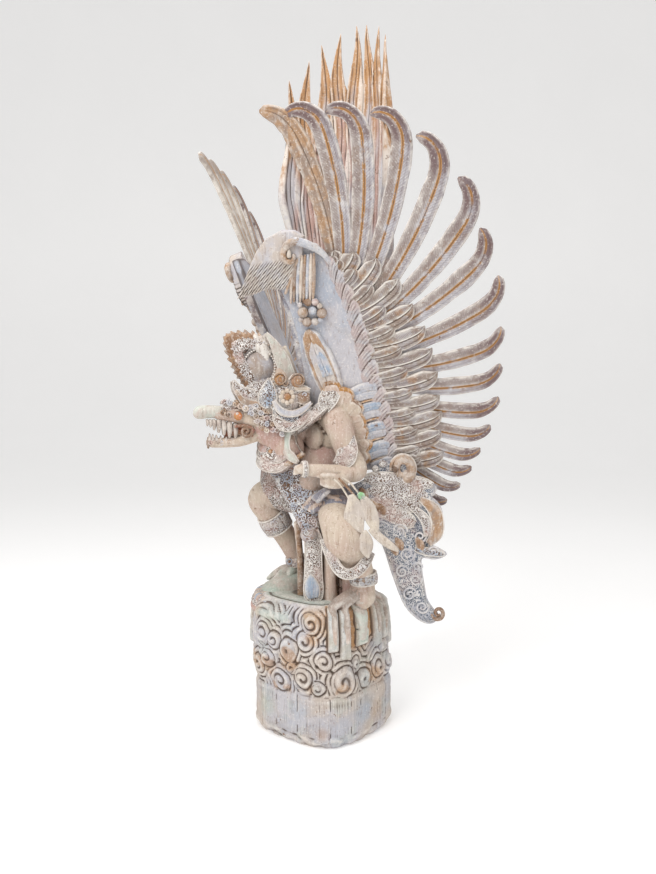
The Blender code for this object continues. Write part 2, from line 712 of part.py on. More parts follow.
def sash_outline():
    """A ring of curls at the hip, a broad leaf behind it and a long lappet ending in a curl."""
    shares = [(-0.05, 0.09), (0.15, 0.15), (0.30, 0.22), (0.34, 0.30), (0.40, 0.32), (0.48, 0.27),
              (0.53, 0.16), (0.64, 0.08), (0.58, 0.00), (0.67, -0.06), (0.71, -0.18), (0.69, -0.30),
              (0.60, -0.38), (0.74, -0.42), (0.66, -0.48), (0.55, -0.52), (0.55, -0.70), (0.60, -0.82),
              (0.70, -0.83), (0.78, -0.82), (0.81, -0.91), (0.74, -1.00), (0.54, -0.98), (0.41, -0.91),
              (0.33, -0.75), (0.25, -0.51), (0.15, -0.39), (0.07, -0.19), (-0.05, -0.12)]
    return [(SASH_LENGTH * x, SASH_LENGTH * y) for x, y in shares]


def slot_cutter(name, outline, low, high, place, tools):
    """The space a set-in piece takes from the figure, with the fitting gap on every side."""
    heap = Carving()
    heap.plate(outline, high - low, Matrix.Translation((0, 0, (low + high) / 2)))
    cutter = heap.finish(name, tools, bpy.data.materials["limewashed_wood"])
    cutter.matrix_world = place
    cutter.hide_render = True
    cutter.display_type = "WIRE"
    return cutter


def rectangle(x0, x1, y0, y1):
    return [(x0, y0), (x1, y0), (x1, y1), (x0, y1)]


def build_figure(group, tools):
    heap = Carving()
    base_block(heap)
    base_carving(heap)
    leg_and_foot(heap)
    torso_and_arms(heap)
    cloth(heap)
    head(heap)
    crown(heap)
    for side in (1, -1):
        root = side * wing_root(side)
        hip = root + side * (SASH_OUTSIDE_ROOT - SASH_THICKNESS)
        body_limb(heap, [(0.030 * side, 0.030, 0.740, 0.050), (root, 0.072, 0.750, 0.040)])
        body_limb(heap, [(0.050 * side, 0.020, 0.590, 0.040), (0.8 * hip, 0.040, 0.590, 0.026),
                         (hip, 0.044, 0.590, 0.010)])
    body_limb(heap, [(0.0, 0.040, 0.680, 0.050), (0.0, 0.075, 0.780, 0.045)])
    figure = heap.finish("garuda_figure", group, bpy.data.materials["limewashed_wood"])
    carve(figure, FIGURE_TRIANGLES)
    graph = bpy.context.evaluated_depsgraph_get()
    figure.data = bpy.data.meshes.new_from_object(figure.evaluated_get(graph))
    figure.modifiers.clear()
    return figure


def cut(figure, cutter):
    slot = figure.modifiers.new("slot_" + cutter.name, "BOOLEAN")
    slot.operation = "DIFFERENCE"
    slot.object = cutter


def main():
    clear_scene()
    group = new_collection("garuda_statue")
    tools = new_collection("cutters")
    for name in COLOURS:
        paint(name)
    figure = build_figure(group, tools)
    for side in (1, -1):
        wing(side, group, tools, bpy.data.materials["wing_paint"])
        low, high = sorted((side * (PLATE_LIFT - PLATE_THICKNESS / 2 - FIT_GAP),
                            side * (PLATE_LIFT + PLATE_THICKNESS / 2 + FIT_GAP)))
        slot = slot_cutter("wing_slot", grown(shoulder_plate(side), 2 * FIT_GAP), low, high,
                           wing_frame(side), tools)
        cup(slot, side)
        cut(figure, slot)
    tail_fan(group, bpy.data.materials["fan_paint"])
    cut(figure, slot_cutter("tail_slot", rectangle(-0.20, 0.20, -0.105, 1.20),
                            -TAIL_THICKNESS - 0.10, 0.008, tail_frame(), tools))
    for side in (1, -1):
        sash = Carving()
        sash.plate(sash_outline(), SASH_THICKNESS, Matrix.Identity(4))
        name = "left_sash_flare" if side > 0 else "right_sash_flare"
        sash_solid = sash.finish(name, group, bpy.data.materials["sash_paint"])
        sash_solid.matrix_world = sash_frame(side)
        half = SASH_THICKNESS / 2 + FIT_GAP
        cut(figure, slot_cutter("sash_slot", rectangle(-0.03, 0.40, -0.06, 0.06), -half, half,
                                sash_frame(side), tools))
    ground = slot_cutter("ground_cut", rectangle(-0.5, 0.5, -0.5, 0.5), -0.1, 0.0,
                         Matrix.Identity(4), tools)
    cut(figure, ground)


main()
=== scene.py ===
"""Looks of the painted wooden garuda statue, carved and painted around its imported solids.

His body faces -Y and his own left is +X, in metres. Run as a script, it builds the whole statue,
piece by piece, in the order of the buttons in the sidebar's Garuda tab.
"""

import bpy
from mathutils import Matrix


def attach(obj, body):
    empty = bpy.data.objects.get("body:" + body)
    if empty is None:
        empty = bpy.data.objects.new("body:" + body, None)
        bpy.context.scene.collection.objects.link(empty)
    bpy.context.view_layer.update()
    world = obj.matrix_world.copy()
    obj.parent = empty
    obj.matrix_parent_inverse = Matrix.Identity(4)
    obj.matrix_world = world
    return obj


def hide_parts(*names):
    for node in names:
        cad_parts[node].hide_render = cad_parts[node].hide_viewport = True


bl_info = {"name": "Painted Wooden Garuda Statue", "version": (1, 0, 0), "blender": (4, 5, 0),
        "location": "View3D > Sidebar > Garuda",
        "description": "Carves and paints a wooden garuda statue with spread wings", "category": "Object",}

import math

import bmesh
import bpy
import numpy as np
from mathutils import Matrix, Vector, kdtree, noise

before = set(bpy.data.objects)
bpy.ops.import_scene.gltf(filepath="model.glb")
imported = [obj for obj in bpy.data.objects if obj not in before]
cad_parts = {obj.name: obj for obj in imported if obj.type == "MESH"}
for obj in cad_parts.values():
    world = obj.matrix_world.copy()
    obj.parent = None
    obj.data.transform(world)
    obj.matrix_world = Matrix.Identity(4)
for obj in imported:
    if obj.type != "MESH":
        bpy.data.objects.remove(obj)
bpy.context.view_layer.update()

# Height of the base's top in the stations of the figure below
STATION_BASE_TOP = 0.335


def linear(red, green, blue):
    """A colour given 0 to 255, as the linear values that Blender keeps."""
    shares = [value / 255 for value in (red, green, blue)]
    return tuple(v / 12.92 if v < 0.04 else ((v + 0.055) / 1.055) ** 2.4 for v in shares)


def colour(name, description, red, green, blue):
    """A colour that the panel shows."""
    return bpy.props.FloatVectorProperty(name=name, description=description, subtype="COLOR", min=0.0, max=1.0,
            default=linear(red, green, blue))


def length(name, description, default):
    """A length in metres."""
    return bpy.props.FloatProperty(name=name, description=description, default=default, unit="LENGTH",
            precision=4)


def angle_of(name, description, degrees):
    """An angle, written here in degrees."""
    return bpy.props.FloatProperty(name=name, description=description, default=math.radians(degrees),
            subtype="ANGLE", unit="ROTATION")


def number(name, description, default, least=1):
    """A whole number of like parts."""
    return bpy.props.IntProperty(name=name, description=description, default=default, min=least)


class GarudaBaseSizes(bpy.types.PropertyGroup):
    width: length("Width", "Across the rounded square of the rock base", 0.324)
    height: length("Height", "From the floor to the rock that he stands on", 0.353)
    turn: angle_of("Turn", "How far the base is turned from the figure's front", 20)
    lip_height: length("Lip height", "Height of the worn lip at the floor", 0.028)
    band_height: length("Band height", "Height of the band of upright planks", 0.102)
    planks: number("Planks", "Planks in the band, all the way round", 21)
    scroll_depth: length("Scroll depth", "How deep the cloud scrolls are cut", 0.009)


class GarudaFigureSizes(bpy.types.PropertyGroup):
    head_turn: angle_of("Head turn", "How far the head is turned to the figure's right", 20)
    grain: length("Carving grain", "Fineness of the carved body", 0.0039)


class GarudaWingSizes(bpy.types.PropertyGroup):
    primaries: number("Flight feathers", "Long feathers in each wing", 16, 4)
    coverts: number("Coverts", "Short feathers over the roots of the long ones", 12, 3)
    scallops: number("Scallops", "Wave crests along the ridge of each wing", 15, 3)
    feather_width: length("Feather width", "Width of a flight feather", 0.046)
    feather_thickness: length("Feather thickness", "Thickness of a flight feather", 0.009)
    plate_thickness: length("Shoulder thickness", "Thickness of the smooth shoulder", 0.024)
    left_sweep: angle_of("Left sweep", "How far the left wing is swept back", 43)
    right_sweep: angle_of("Right sweep", "How far the right wing is swept back", 49)
    left_root: length("Left root", "From the spine to the left wing's root", 0.083)
    right_root: length("Right root", "From the spine to the right wing's root", 0.114)
    lean: angle_of("Lean", "How far the wings lean over the head", 20)
    cup: bpy.props.FloatProperty(name="Cup", description="How much the wing hollows to the front", default=0.16,
            min=0.0)


class GarudaTailSizes(bpy.types.PropertyGroup):
    flames: number("Flames", "Flame tips along the top of the fan", 9, 3)
    width: length("Width", "Width of the fan, flattened out", 0.4)
    curl_radius: length("Curl radius", "Radius that the fan is bent to", 0.16)
    length: length("Length", "From the fan's foot to its tallest flame", 1.082)
    stem_width: length("Stem width", "Width of the fan's foot", 0.1)
    thickness: length("Thickness", "Thickness of the fan", 0.022)
    turn: angle_of("Turn", "How far the fan is turned from the figure's back", 25)


class GarudaSashSizes(bpy.types.PropertyGroup):
    length: length("Length", "From the hip to the end of the curl", 0.325)
    thickness: length("Thickness", "Thickness of the flare", 0.014)
    inside_wing: angle_of("Inside wing", "How far the flare is turned in from the wing", 8)
    outside_root: length("Outside root", "From the wing's root out to the flare", 0.035)


class GarudaPaints(bpy.types.PropertyGroup):
    lavender: colour("Lavender", "Smooth wing paint", 187, 184, 188)
    taupe: colour("Taupe", "Worn side of each feather", 162, 148, 138)
    plum: colour("Plum", "Feather tips", 112, 92, 92)
    ochre: colour("Ochre", "Quills, claws and rims", 176, 128, 74)
    tan: colour("Tan", "Limewashed skin", 198, 182, 164)
    mint: colour("Mint", "Rock and toes", 176, 188, 176)
    blue: colour("Pale blue", "Lappets and worn patches", 150, 164, 182)
    salmon: colour("Salmon", "The fan and the ridge of scallops", 184, 152, 142)
    stone: colour("Stone", "Limewashed base", 192, 180, 170)
    lime: colour("Lime", "Highlights of old limewash", 232, 226, 218)
    bare_wood: colour("Bare wood", "Wood where the paint has gone", 128, 96, 72)
    # Grime: dust and old stain in the hollows, and also the painted shade laid in them.
    grime_and_shade: colour("Grime", "Dust and old stain in the hollows", 84, 68, 58)
    mouth: colour("Mouth", "Red-brown stain inside the beak", 132, 74, 50)
    leaf: colour("Leaf", "The cream sprig in his hand", 208, 196, 180)


class GarudaStageSizes(bpy.types.PropertyGroup):
    distance: length("Distance", "From the statue to the camera, level", 2.0)
    eye_height: length("Eye height", "Height of the camera", 0.868)
    direction: angle_of("Direction", "Where the camera stands, round from the front", 60)
    yaw: angle_of("Yaw", "How far the view is turned aside", -0.6)
    pitch: angle_of("Pitch", "How far the view looks down", 2.82)
    lens: bpy.props.FloatProperty(name="Lens", description="Focal length in millimetres", default=30.89,
            min=1.0)
    floor: colour("Floor", "The plain pale floor", 240, 239, 238)
    key_light: bpy.props.FloatProperty(name="Key light", description="Strength of the large soft light",
            default=68.0, min=0.0, unit="POWER")


SETTINGS = {"garuda_base": GarudaBaseSizes, "garuda_figure": GarudaFigureSizes, "garuda_wing": GarudaWingSizes,
        "garuda_tail": GarudaTailSizes, "garuda_sash": GarudaSashSizes, "garuda_paints": GarudaPaints,
        "garuda_stage": GarudaStageSizes,}


# Paints

class Finish:
    """One painted finish, built up in nodes from the wood outwards."""

    def __init__(self, name):
        self.material = bpy.data.materials.new(name)
        self.material.use_nodes = True
        self.tree = self.material.node_tree
        self.shader = self.tree.nodes["Principled BSDF"]
        self.shader.inputs["Specular IOR Level"].default_value = 0.25
        place = self.tree.nodes.new("ShaderNodeTexCoord")
        self.place = place.outputs["Object"]

    def node(self, kind, links=(), **settings):
        made = self.tree.nodes.new("ShaderNode" + kind)
        for key, value in settings.items():
            setattr(made, key, value)
        for key, value in dict(links).items():
            socket = made.inputs[key]
            if isinstance(value, bpy.types.NodeSocket):
                self.tree.links.new(value, socket)
            else:
                socket.default_value = value
        return made

    def stretched(self, *scale):
        return self.node("Mapping", {"Vector": self.place, "Scale": scale}).outputs["Vector"]

    def clouds(self, scale, detail=4.0, roughness=0.6, place=None, distortion=0.0):
        made = self.node("TexNoise", {"Vector": place or self.place, "Scale": scale, "Detail": detail,
                "Roughness": roughness, "Distortion": distortion})
        return made.outputs["Fac"]

    def share(self, name):
        """An attribute that the piece's mesh carries, such as how far along a feather a point is."""
        return self.node("Attribute", attribute_name=name).outputs["Fac"]

    def window(self, value, low, high, top=1.0):
        """0 below low, top above high, and smooth between them."""
        made = self.node("MapRange", {"Value": value, "From Min": low, "From Max": high, "To Min": 0.0,
                "To Max": top}, interpolation_type="SMOOTHSTEP")
        return made.outputs["Result"]

    def maths(self, operation, *values):
        made = self.node("Math", dict(enumerate(values)), operation=operation)
        return made.outputs["Value"]

    def over(self, below, above, share):
        """A coat laid over another where share is high."""
        made = self.node("Mix", {0: share}, data_type="RGBA")
        for socket, value in ((made.inputs[6], below), (made.inputs[7], above)):
            if isinstance(value, bpy.types.NodeSocket):
                self.tree.links.new(value, socket)
            else:
                socket.default_value = (*value[:3], 1.0)
        return made.outputs[2]

    def done(self, coat, height, depth, rough=(0.68, 0.92)):
        """Joins colour, roughness and bump to the shader."""
        self.tree.links.new(coat, self.shader.inputs["Base Color"])
        worn = self.node("MapRange", {"Value": self.clouds(70), "From Min": 0.3, "From Max": 0.7,
                "To Min": rough[0], "To Max": rough[1]})
        self.tree.links.new(worn.outputs["Result"], self.shader.inputs["Roughness"])
        bump = self.node("Bump", {"Height": height, "Strength": 0.75, "Distance": depth})
        self.tree.links.new(bump.outputs["Normal"], self.shader.inputs["Normal"])
        return self.material


def aged(finish, coat, paints, wear=0.5, grime_and_shade=0.85, proud=0.5):
    """Wears a coat: lime left on proud edges, which is worn limewash and also a painted highlight, chips down
    to wood, and stain in the hollows, which is also painted shade.
    """
    relief = finish.share("relief")
    ripple = finish.clouds(38, 6, 0.7)
    fine = finish.clouds(160, 4, 0.65)
    # Proud edges get lime: partly worn limewash, partly a painted highlight along the edges.
    edge = finish.maths("MULTIPLY", finish.window(relief, 0.1, 0.75), finish.window(ripple, 0.38, 0.6, proud))
    coat = finish.over(coat, paints.lime, edge)
    chips = finish.window(ripple, 0.7 - 0.14 * wear, 0.74 - 0.12 * wear, 0.85)
    coat = finish.over(coat, paints.bare_wood, chips)
    flecks = finish.window(fine, 0.64 - 0.05 * wear, 0.7 - 0.05 * wear, 0.55)
    coat = finish.over(coat, paints.bare_wood, flecks)
    dust = finish.window(finish.clouds(220, 3, 0.6), 0.58, 0.66, 0.45)
    coat = finish.over(coat, paints.lime, dust)
    # Hollows are darkened with the grime paint: partly stain and dust, partly painted shade in the recesses.
    hollow = finish.window(finish.maths("MULTIPLY", relief, -1.0), 0.08, 0.8, grime_and_shade)
    coat = finish.over(coat, paints.grime_and_shade, hollow)
    ground = finish.maths("ADD", finish.maths("MULTIPLY", ripple, 0.8), finish.maths("MULTIPLY", fine, 0.5))
    return coat, finish.maths("SUBTRACT", ground, chips)


def limewashed(name, paints, first, second, scale=9.0, wear=0.5, grime_and_shade=0.85, proud=0.5):
    """The common finish of the carving: two thin coats in patches, then wear and stain, with a painted
    highlight on proud edges and painted shade in the hollows.
    """
    finish = Finish(name)
    patches = finish.window(finish.clouds(scale, 5, 0.65, distortion=0.4), 0.42, 0.6)
    coat = finish.over(first, second, patches)
    for share, tint in (("minted", paints.mint), ("blued", paints.blue), ("ochred", paints.ochre)):
        coat = finish.over(coat, tint, finish.share(share))
    streaks = finish.clouds(9, 4, 0.6, finish.stretched(16.0, 16.0, 1.6))
    coat = finish.over(coat, paints.bare_wood, finish.window(streaks, 0.54, 0.72, 0.42))
    coat = finish.over(coat, paints.lime, finish.window(streaks, 0.46, 0.3, 0.3))
    stain = finish.window(finish.clouds(5.5, 6, 0.7, distortion=0.6), 0.5, 0.68, 0.34)
    coat = finish.over(coat, paints.taupe, stain)
    coat, height = aged(finish, coat, paints, wear, grime_and_shade, proud)
    return finish.done(coat, height, 0.0012)


def chased(name, paints, ground, raised, cell=85.0, tinted=0.5):
    """Carving cut all over with small rings and curls, pale on a darker ground."""
    finish = Finish(name)
    bent = finish.node("TexNoise", {"Vector": finish.place, "Scale": 55.0, "Detail": 2.0}).outputs["Color"]
    wander = finish.node("VectorMath", {0: bent, 1: (0.012, 0.012, 0.012)}, operation="MULTIPLY")
    place = finish.node("VectorMath", {0: finish.place, 1: wander.outputs["Vector"]}, operation="ADD")
    cells = finish.node("TexVoronoi", {"Vector": place.outputs["Vector"], "Scale": cell})
    rings = finish.maths("SINE", finish.maths("MULTIPLY", cells.outputs["Distance"], 15.0))
    pattern = finish.window(rings, -0.75, 0.15)
    coat = finish.over(ground, raised, pattern)
    coat = finish.over(coat, paints.salmon, finish.window(finish.clouds(14, 4), 0.5, 0.62, tinted))
    coat = finish.over(coat, paints.lime, finish.maths("MULTIPLY", finish.window(rings, 0.35, 0.85),
            finish.window(finish.clouds(30, 3), 0.4, 0.56, 0.7)))
    coat, height = aged(finish, coat, paints, 0.35, 0.7)
    height = finish.maths("ADD", finish.maths("MULTIPLY", pattern, 2.0), height)
    return finish.done(coat, height, 0.0016)


def feather_finish(name, paints, front, rear, end):
    """A flight feather: lavender and taupe webs, pale edges, an ochre quill and a plum tip."""
    finish = Finish(name)
    across, along = finish.share("across"), finish.share("along")
    ripple = finish.clouds(24, 5, 0.65)
    streaks = finish.clouds(26, 4, 0.6)
    leading = finish.window(finish.maths("ADD", across, finish.maths("MULTIPLY", ripple, 0.7)), 0.35, 0.65,
            0.75)
    coat = finish.over(rear, front, leading)
    coat = finish.over(coat, paints.plum, finish.window(ripple, 0.3, 0.7, 0.46))
    coat = finish.over(coat, paints.lime, finish.window(streaks, 0.58, 0.7, 0.36))
    coat = finish.over(coat, paints.bare_wood, finish.window(finish.clouds(11, 6, 0.75), 0.48, 0.66, 0.55))
    barbs = finish.maths("SINE", finish.maths("MULTIPLY", finish.maths("SUBTRACT", along,
            finish.maths("MULTIPLY", finish.maths("ABSOLUTE", across), 0.05)), 420.0))
    coat = finish.over(coat, paints.grime_and_shade, finish.window(barbs, 0.35, 1.0, 0.26))
    tip = finish.window(finish.maths("ADD", along, finish.maths("MULTIPLY", ripple, 0.3)), 0.86, 1.02, 0.88)
    coat = finish.over(coat, end, tip)
    quill = finish.maths("ABSOLUTE", across)
    coat = finish.over(coat, paints.ochre, finish.maths("MULTIPLY", finish.window(finish.maths("ABSOLUTE",
            finish.maths("ADD", across, 0.1)), 0.2, 0.1), finish.window(ripple, 0.34, 0.5, 0.95)))
    coat = finish.over(coat, paints.lime, finish.maths("MULTIPLY", finish.window(quill, 0.8, 0.92),
            finish.window(finish.clouds(60), 0.4, 0.56, 0.55)))
    coat, height = aged(finish, coat, paints, 0.3, 0.9, 0.3)
    height = finish.maths("ADD", height, finish.maths("MULTIPLY", barbs, 0.18))
    return finish.done(coat, height, 0.0012)


def covert_finish(name, paints):
    """A covert: taupe webs streaked with ochre, a pale quill and a pale rim."""
    finish = Finish(name)
    across, along = finish.share("across"), finish.share("along")
    ripple = finish.clouds(30, 5, 0.65)
    coat = finish.over(paints.taupe, paints.lavender, finish.window(ripple, 0.46, 0.6, 0.6))
    coat = finish.over(coat, paints.plum, finish.window(finish.clouds(16, 5), 0.44, 0.62, 0.4))
    coat = finish.over(coat, paints.ochre, finish.window(finish.clouds(18, 4), 0.54, 0.66, 0.55))
    barbs = finish.maths("SINE", finish.maths("MULTIPLY", finish.maths("SUBTRACT", along,
            finish.maths("MULTIPLY", finish.maths("ABSOLUTE", across), 0.3)), 110.0))
    coat = finish.over(coat, paints.bare_wood, finish.window(finish.clouds(13, 6, 0.75), 0.48, 0.66, 0.45))
    coat = finish.over(coat, paints.grime_and_shade, finish.window(barbs, 0.25, 1.0, 0.34))
    quill = finish.maths("ABSOLUTE", across)
    pale = finish.maths("MAXIMUM", finish.window(quill, 0.13, 0.06), finish.window(quill, 0.8, 0.93, 0.75))
    coat = finish.over(coat, paints.lime, finish.maths("MULTIPLY", pale, finish.window(ripple, 0.36, 0.48)))
    coat, height = aged(finish, coat, paints, 0.4, 0.9, 0.4)
    height = finish.maths("ADD", height, finish.maths("MULTIPLY", barbs, 0.3))
    return finish.done(coat, height, 0.0014)


def flame_finish(name, paints):
    """The fan: lavender and salmon strips that turn ochre toward the flame tips."""
    finish = Finish(name)
    across, along = finish.share("across"), finish.share("along")
    ripple = finish.clouds(16, 5, 0.65)
    strip = finish.window(finish.clouds(9, 3, 0.5, finish.stretched(3.0, 3.0, 0.5)), 0.42, 0.58)
    coat = finish.over(paints.lavender, paints.salmon, strip)
    coat = finish.over(coat, paints.taupe, finish.window(ripple, 0.52, 0.66, 0.7))
    top = finish.window(finish.maths("ADD", along, finish.maths("MULTIPLY", ripple, 0.3)), 0.9, 1.06, 0.85)
    coat = finish.over(coat, paints.ochre, top)
    rim = finish.window(finish.maths("ABSOLUTE", across), 0.62, 0.86, 0.6)
    coat = finish.over(coat, paints.lime, finish.maths("MULTIPLY", rim, finish.window(ripple, 0.4, 0.55)))
    coat, height = aged(finish, coat, paints, 0.45, 0.85)
    return finish.done(coat, height, 0.0014)


COATS = ("tan", "mint", "lavender", "blue", "ochre", "salmon", "stone", "brown", "chased", "scale", "bone",
        "mouth", "leaf", "feather", "covert", "flame", "dark", "gold", "painted_shade", "hood", "ridge", "pale_feather",
        "beaded", "beaded_blue", "shaded_skin", "rose", "green", "flame_eye", "amber", "dove", "tooth",
        "pale_mint", "sash_cloth")
BUD_GREEN, EYE_ORANGE, CURL_BROWN = (0.25, 0.52, 0.24), (0.62, 0.2, 0.06), (0.33, 0.14, 0.05)


def blend(first, second, share=0.5):
    """A paint mixed from two; share is how much of the second is in it."""
    return [(1 - share) * a + share * b for a, b in zip(first, second)]


def thinned(paint, share):
    """A darker cut of a paint."""
    return [share * value for value in paint]


def mix_paints(paints):
    """Makes each finish from the panel's colours."""
    half, cool = blend(paints.tan, paints.salmon), blend(paints.lavender, paints.blue)
    shade = blend(paints.grime_and_shade, paints.bare_wood)
    # The darker taupe skin coat in this list is painted shade on skin: the belly, waist folds and small toes.
    for name, first, second, *wear in (("tan", paints.tan, half, 7.0, 0.3, 0.9), ("mint", paints.mint,
            paints.stone, 9.0, 0.35), ("lavender", paints.lavender, cool, 5.0, 0.18, 0.8), ("blue", paints.blue,
            paints.lavender, 12.0, 0.45), ("ochre", paints.ochre, paints.bare_wood, 30.0, 0.4), ("salmon",
            paints.salmon, paints.lavender, 16.0, 0.45), ("stone", paints.stone, paints.lavender, 8.0, 0.45),
            ("brown", paints.bare_wood, blend(paints.taupe, paints.ochre), 22.0, 0.3, 0.85, 0.3), ("bone",
            thinned(paints.lime, 0.9), paints.stone, 14.0, 0.2, 0.8), ("mouth", paints.mouth, paints.bare_wood,
            30.0, 0.2, 0.8, 0.12), ("leaf", paints.leaf, paints.stone, 12.0, 0.25, 0.8, 0.2), ("dark",
            paints.grime_and_shade, thinned(paints.bare_wood, 0.55), 30.0, 0.2, 0.85, 0.2), ("shaded_skin", paints.taupe,
            half, 9.0, 0.3), ("rose", half, paints.salmon, 12.0, 0.4), ("green", thinned(paints.mint, 0.75),
            BUD_GREEN, 40.0, 0.1), ("flame_eye", paints.ochre, EYE_ORANGE, 60.0, 0.1, 0.8, 0.1), ("amber",
            CURL_BROWN, paints.ochre, 60.0, 0.15, 0.7, 0.12), ("dove", thinned(paints.lavender, 0.9),
            paints.taupe, 12.0, 0.1), ("tooth", paints.stone, paints.taupe, 40.0, 0.3, 0.9, 0.3), ("pale_mint",
            blend(paints.mint, paints.lime, 0.3), paints.stone, 14.0, 0.2, 0.85, 0.2), ("gold",
            blend(paints.taupe, paints.bare_wood, 0.4), blend(paints.ochre, paints.taupe, 0.4), 26.0, 0.45, 0.9,
            # The dark plum-blue coat that follows is painted shade: the near thigh's top, the waist folds and
            # the wing's front edge.
            0.4), ("painted_shade", blend(paints.plum, paints.blue, 0.45), paints.plum, 14.0, 0.25), ("hood",
            paints.lavender, paints.stone, 10.0, 0.1), ("ridge", blend(paints.salmon, paints.lavender),
            paints.lavender, 20.0, 0.3)):
        limewashed(name, paints, first, second, *wear)
    for name, ground, raised, *cut in (("chased", shade, cool, 90.0), ("scale", paints.bare_wood, paints.tan,
            60.0), ("beaded", shade, blend(paints.lavender, paints.lime, 0.4), 130.0, 0.7), ("beaded_blue",
            shade, paints.blue, 130.0, 0.0), ("sash_cloth", thinned(paints.blue, 0.42),
            blend(cool, paints.lavender), 120.0, 0.35)):
        chased(name, paints, ground, raised, *cut)
    feather_finish("feather", paints, paints.taupe, paints.lavender, paints.plum)
    feather_finish("pale_feather", paints, paints.leaf, paints.lime, paints.taupe)
    covert_finish("covert", paints)
    flame_finish("flame", paints)


# Carving tools

def smooth_path(stations, steps):
    """Catmull-Rom points through stations of any number of values."""
    rows = np.array(stations, dtype=float)
    before, after = np.vstack([rows[:1], rows[:-1]]), np.vstack([rows[1:], rows[-1:]])
    last = np.vstack([rows[2:], rows[-1:], rows[-1:]])
    path = []
    for k in range(len(rows) - 1):
        a, b, c, d = before[k], rows[k], after[k], last[k]
        for t in np.arange(steps) / steps:
            path.append(0.5 * (2 * b + (c - a) * t + (2 * a - 5 * b + 4 * c - d) * t * t
                    + (3 * b - a - 3 * c + d) * t ** 3))
    return np.array(path + [rows[-1]])


def unit(vectors):
    """The vectors, each cut to a length of one."""
    size = np.linalg.norm(vectors, axis=-1, keepdims=True)
    return vectors / np.maximum(size, 1e-9)


def window(value, low, high):
    """0 below low, 1 above high, and smooth between them."""
    t = np.clip((value - low) / (high - low), 0.0, 1.0)
    return t * t * (3 - 2 * t)


def placed(matrix, points):
    """The points, moved by the matrix."""
    grid = np.array(matrix)
    return np.asarray(points) @ grid[:3, :3].T + grid[:3, 3]


def stack_faces(count, around):
    """Faces of a closed stack of rings, with a cap at each end."""
    ring = np.arange(around)
    after = (ring + 1) % around
    low = (np.arange(count - 1) * around)[:, None]
    quads = np.stack([low + ring, low + after, low + after + around, low + ring + around], -1)
    return ([tuple(face) for face in quads.reshape(-1, 4).tolist()] + [tuple(reversed(range(around)))]
            + [tuple(range((count - 1) * around, count * around))])


def sheet_faces(rows, cols):
    """Faces of a front grid and a back grid that are joined round their rim."""
    index = np.arange(rows * cols).reshape(rows, cols)
    back = rows * cols
    front = np.stack([index[:-1, :-1], index[1:, :-1], index[1:, 1:], index[:-1, 1:]], -1).reshape(-1, 4)
    rim = np.concatenate([index[0, :], index[1:, -1], index[-1, -2::-1], index[-2:0:-1, 0]])
    after = np.roll(rim, -1)
    sides = np.stack([rim, after, after + back, rim + back], -1)
    faces = np.concatenate([front, front[:, ::-1] + back, sides])
    return [tuple(face) for face in faces.tolist()]


def mark_relief(data, rounds, depth):
    """Stores how proud of its surroundings each point is, from -1 in a hollow to 1 on an edge."""
    count = len(data.vertices)
    points = np.empty(count * 3)
    normals = np.empty(count * 3)
    edges = np.empty(len(data.edges) * 2, dtype=np.int32)
    data.vertices.foreach_get("co", points)
    data.vertices.foreach_get("normal", normals)
    data.edges.foreach_get("vertices", edges)
    points, normals = points.reshape(-1, 3), normals.reshape(-1, 3)
    a, b = edges.reshape(-1, 2).T
    valence = np.maximum(np.bincount(a, minlength=count) + np.bincount(b, minlength=count), 1)
    softened = points.copy()
    for _ in range(rounds):
        total = [np.bincount(a, softened[b, i], count) + np.bincount(b, softened[a, i], count)
                for i in range(3)]
        softened = 0.5 * softened + 0.5 * np.stack(total, -1) / valence[:, None]
    proud = np.einsum("ij,ij->i", points - softened, normals) / depth
    store(data, "relief", np.clip(proud, -1, 1))


def store(data, name, values):
    """Keeps one value for each point of a mesh."""
    layer = data.attributes.get(name) or data.attributes.new(name, "FLOAT", "POINT")
    layer.data.foreach_set("value", np.asarray(values, dtype=np.float32))


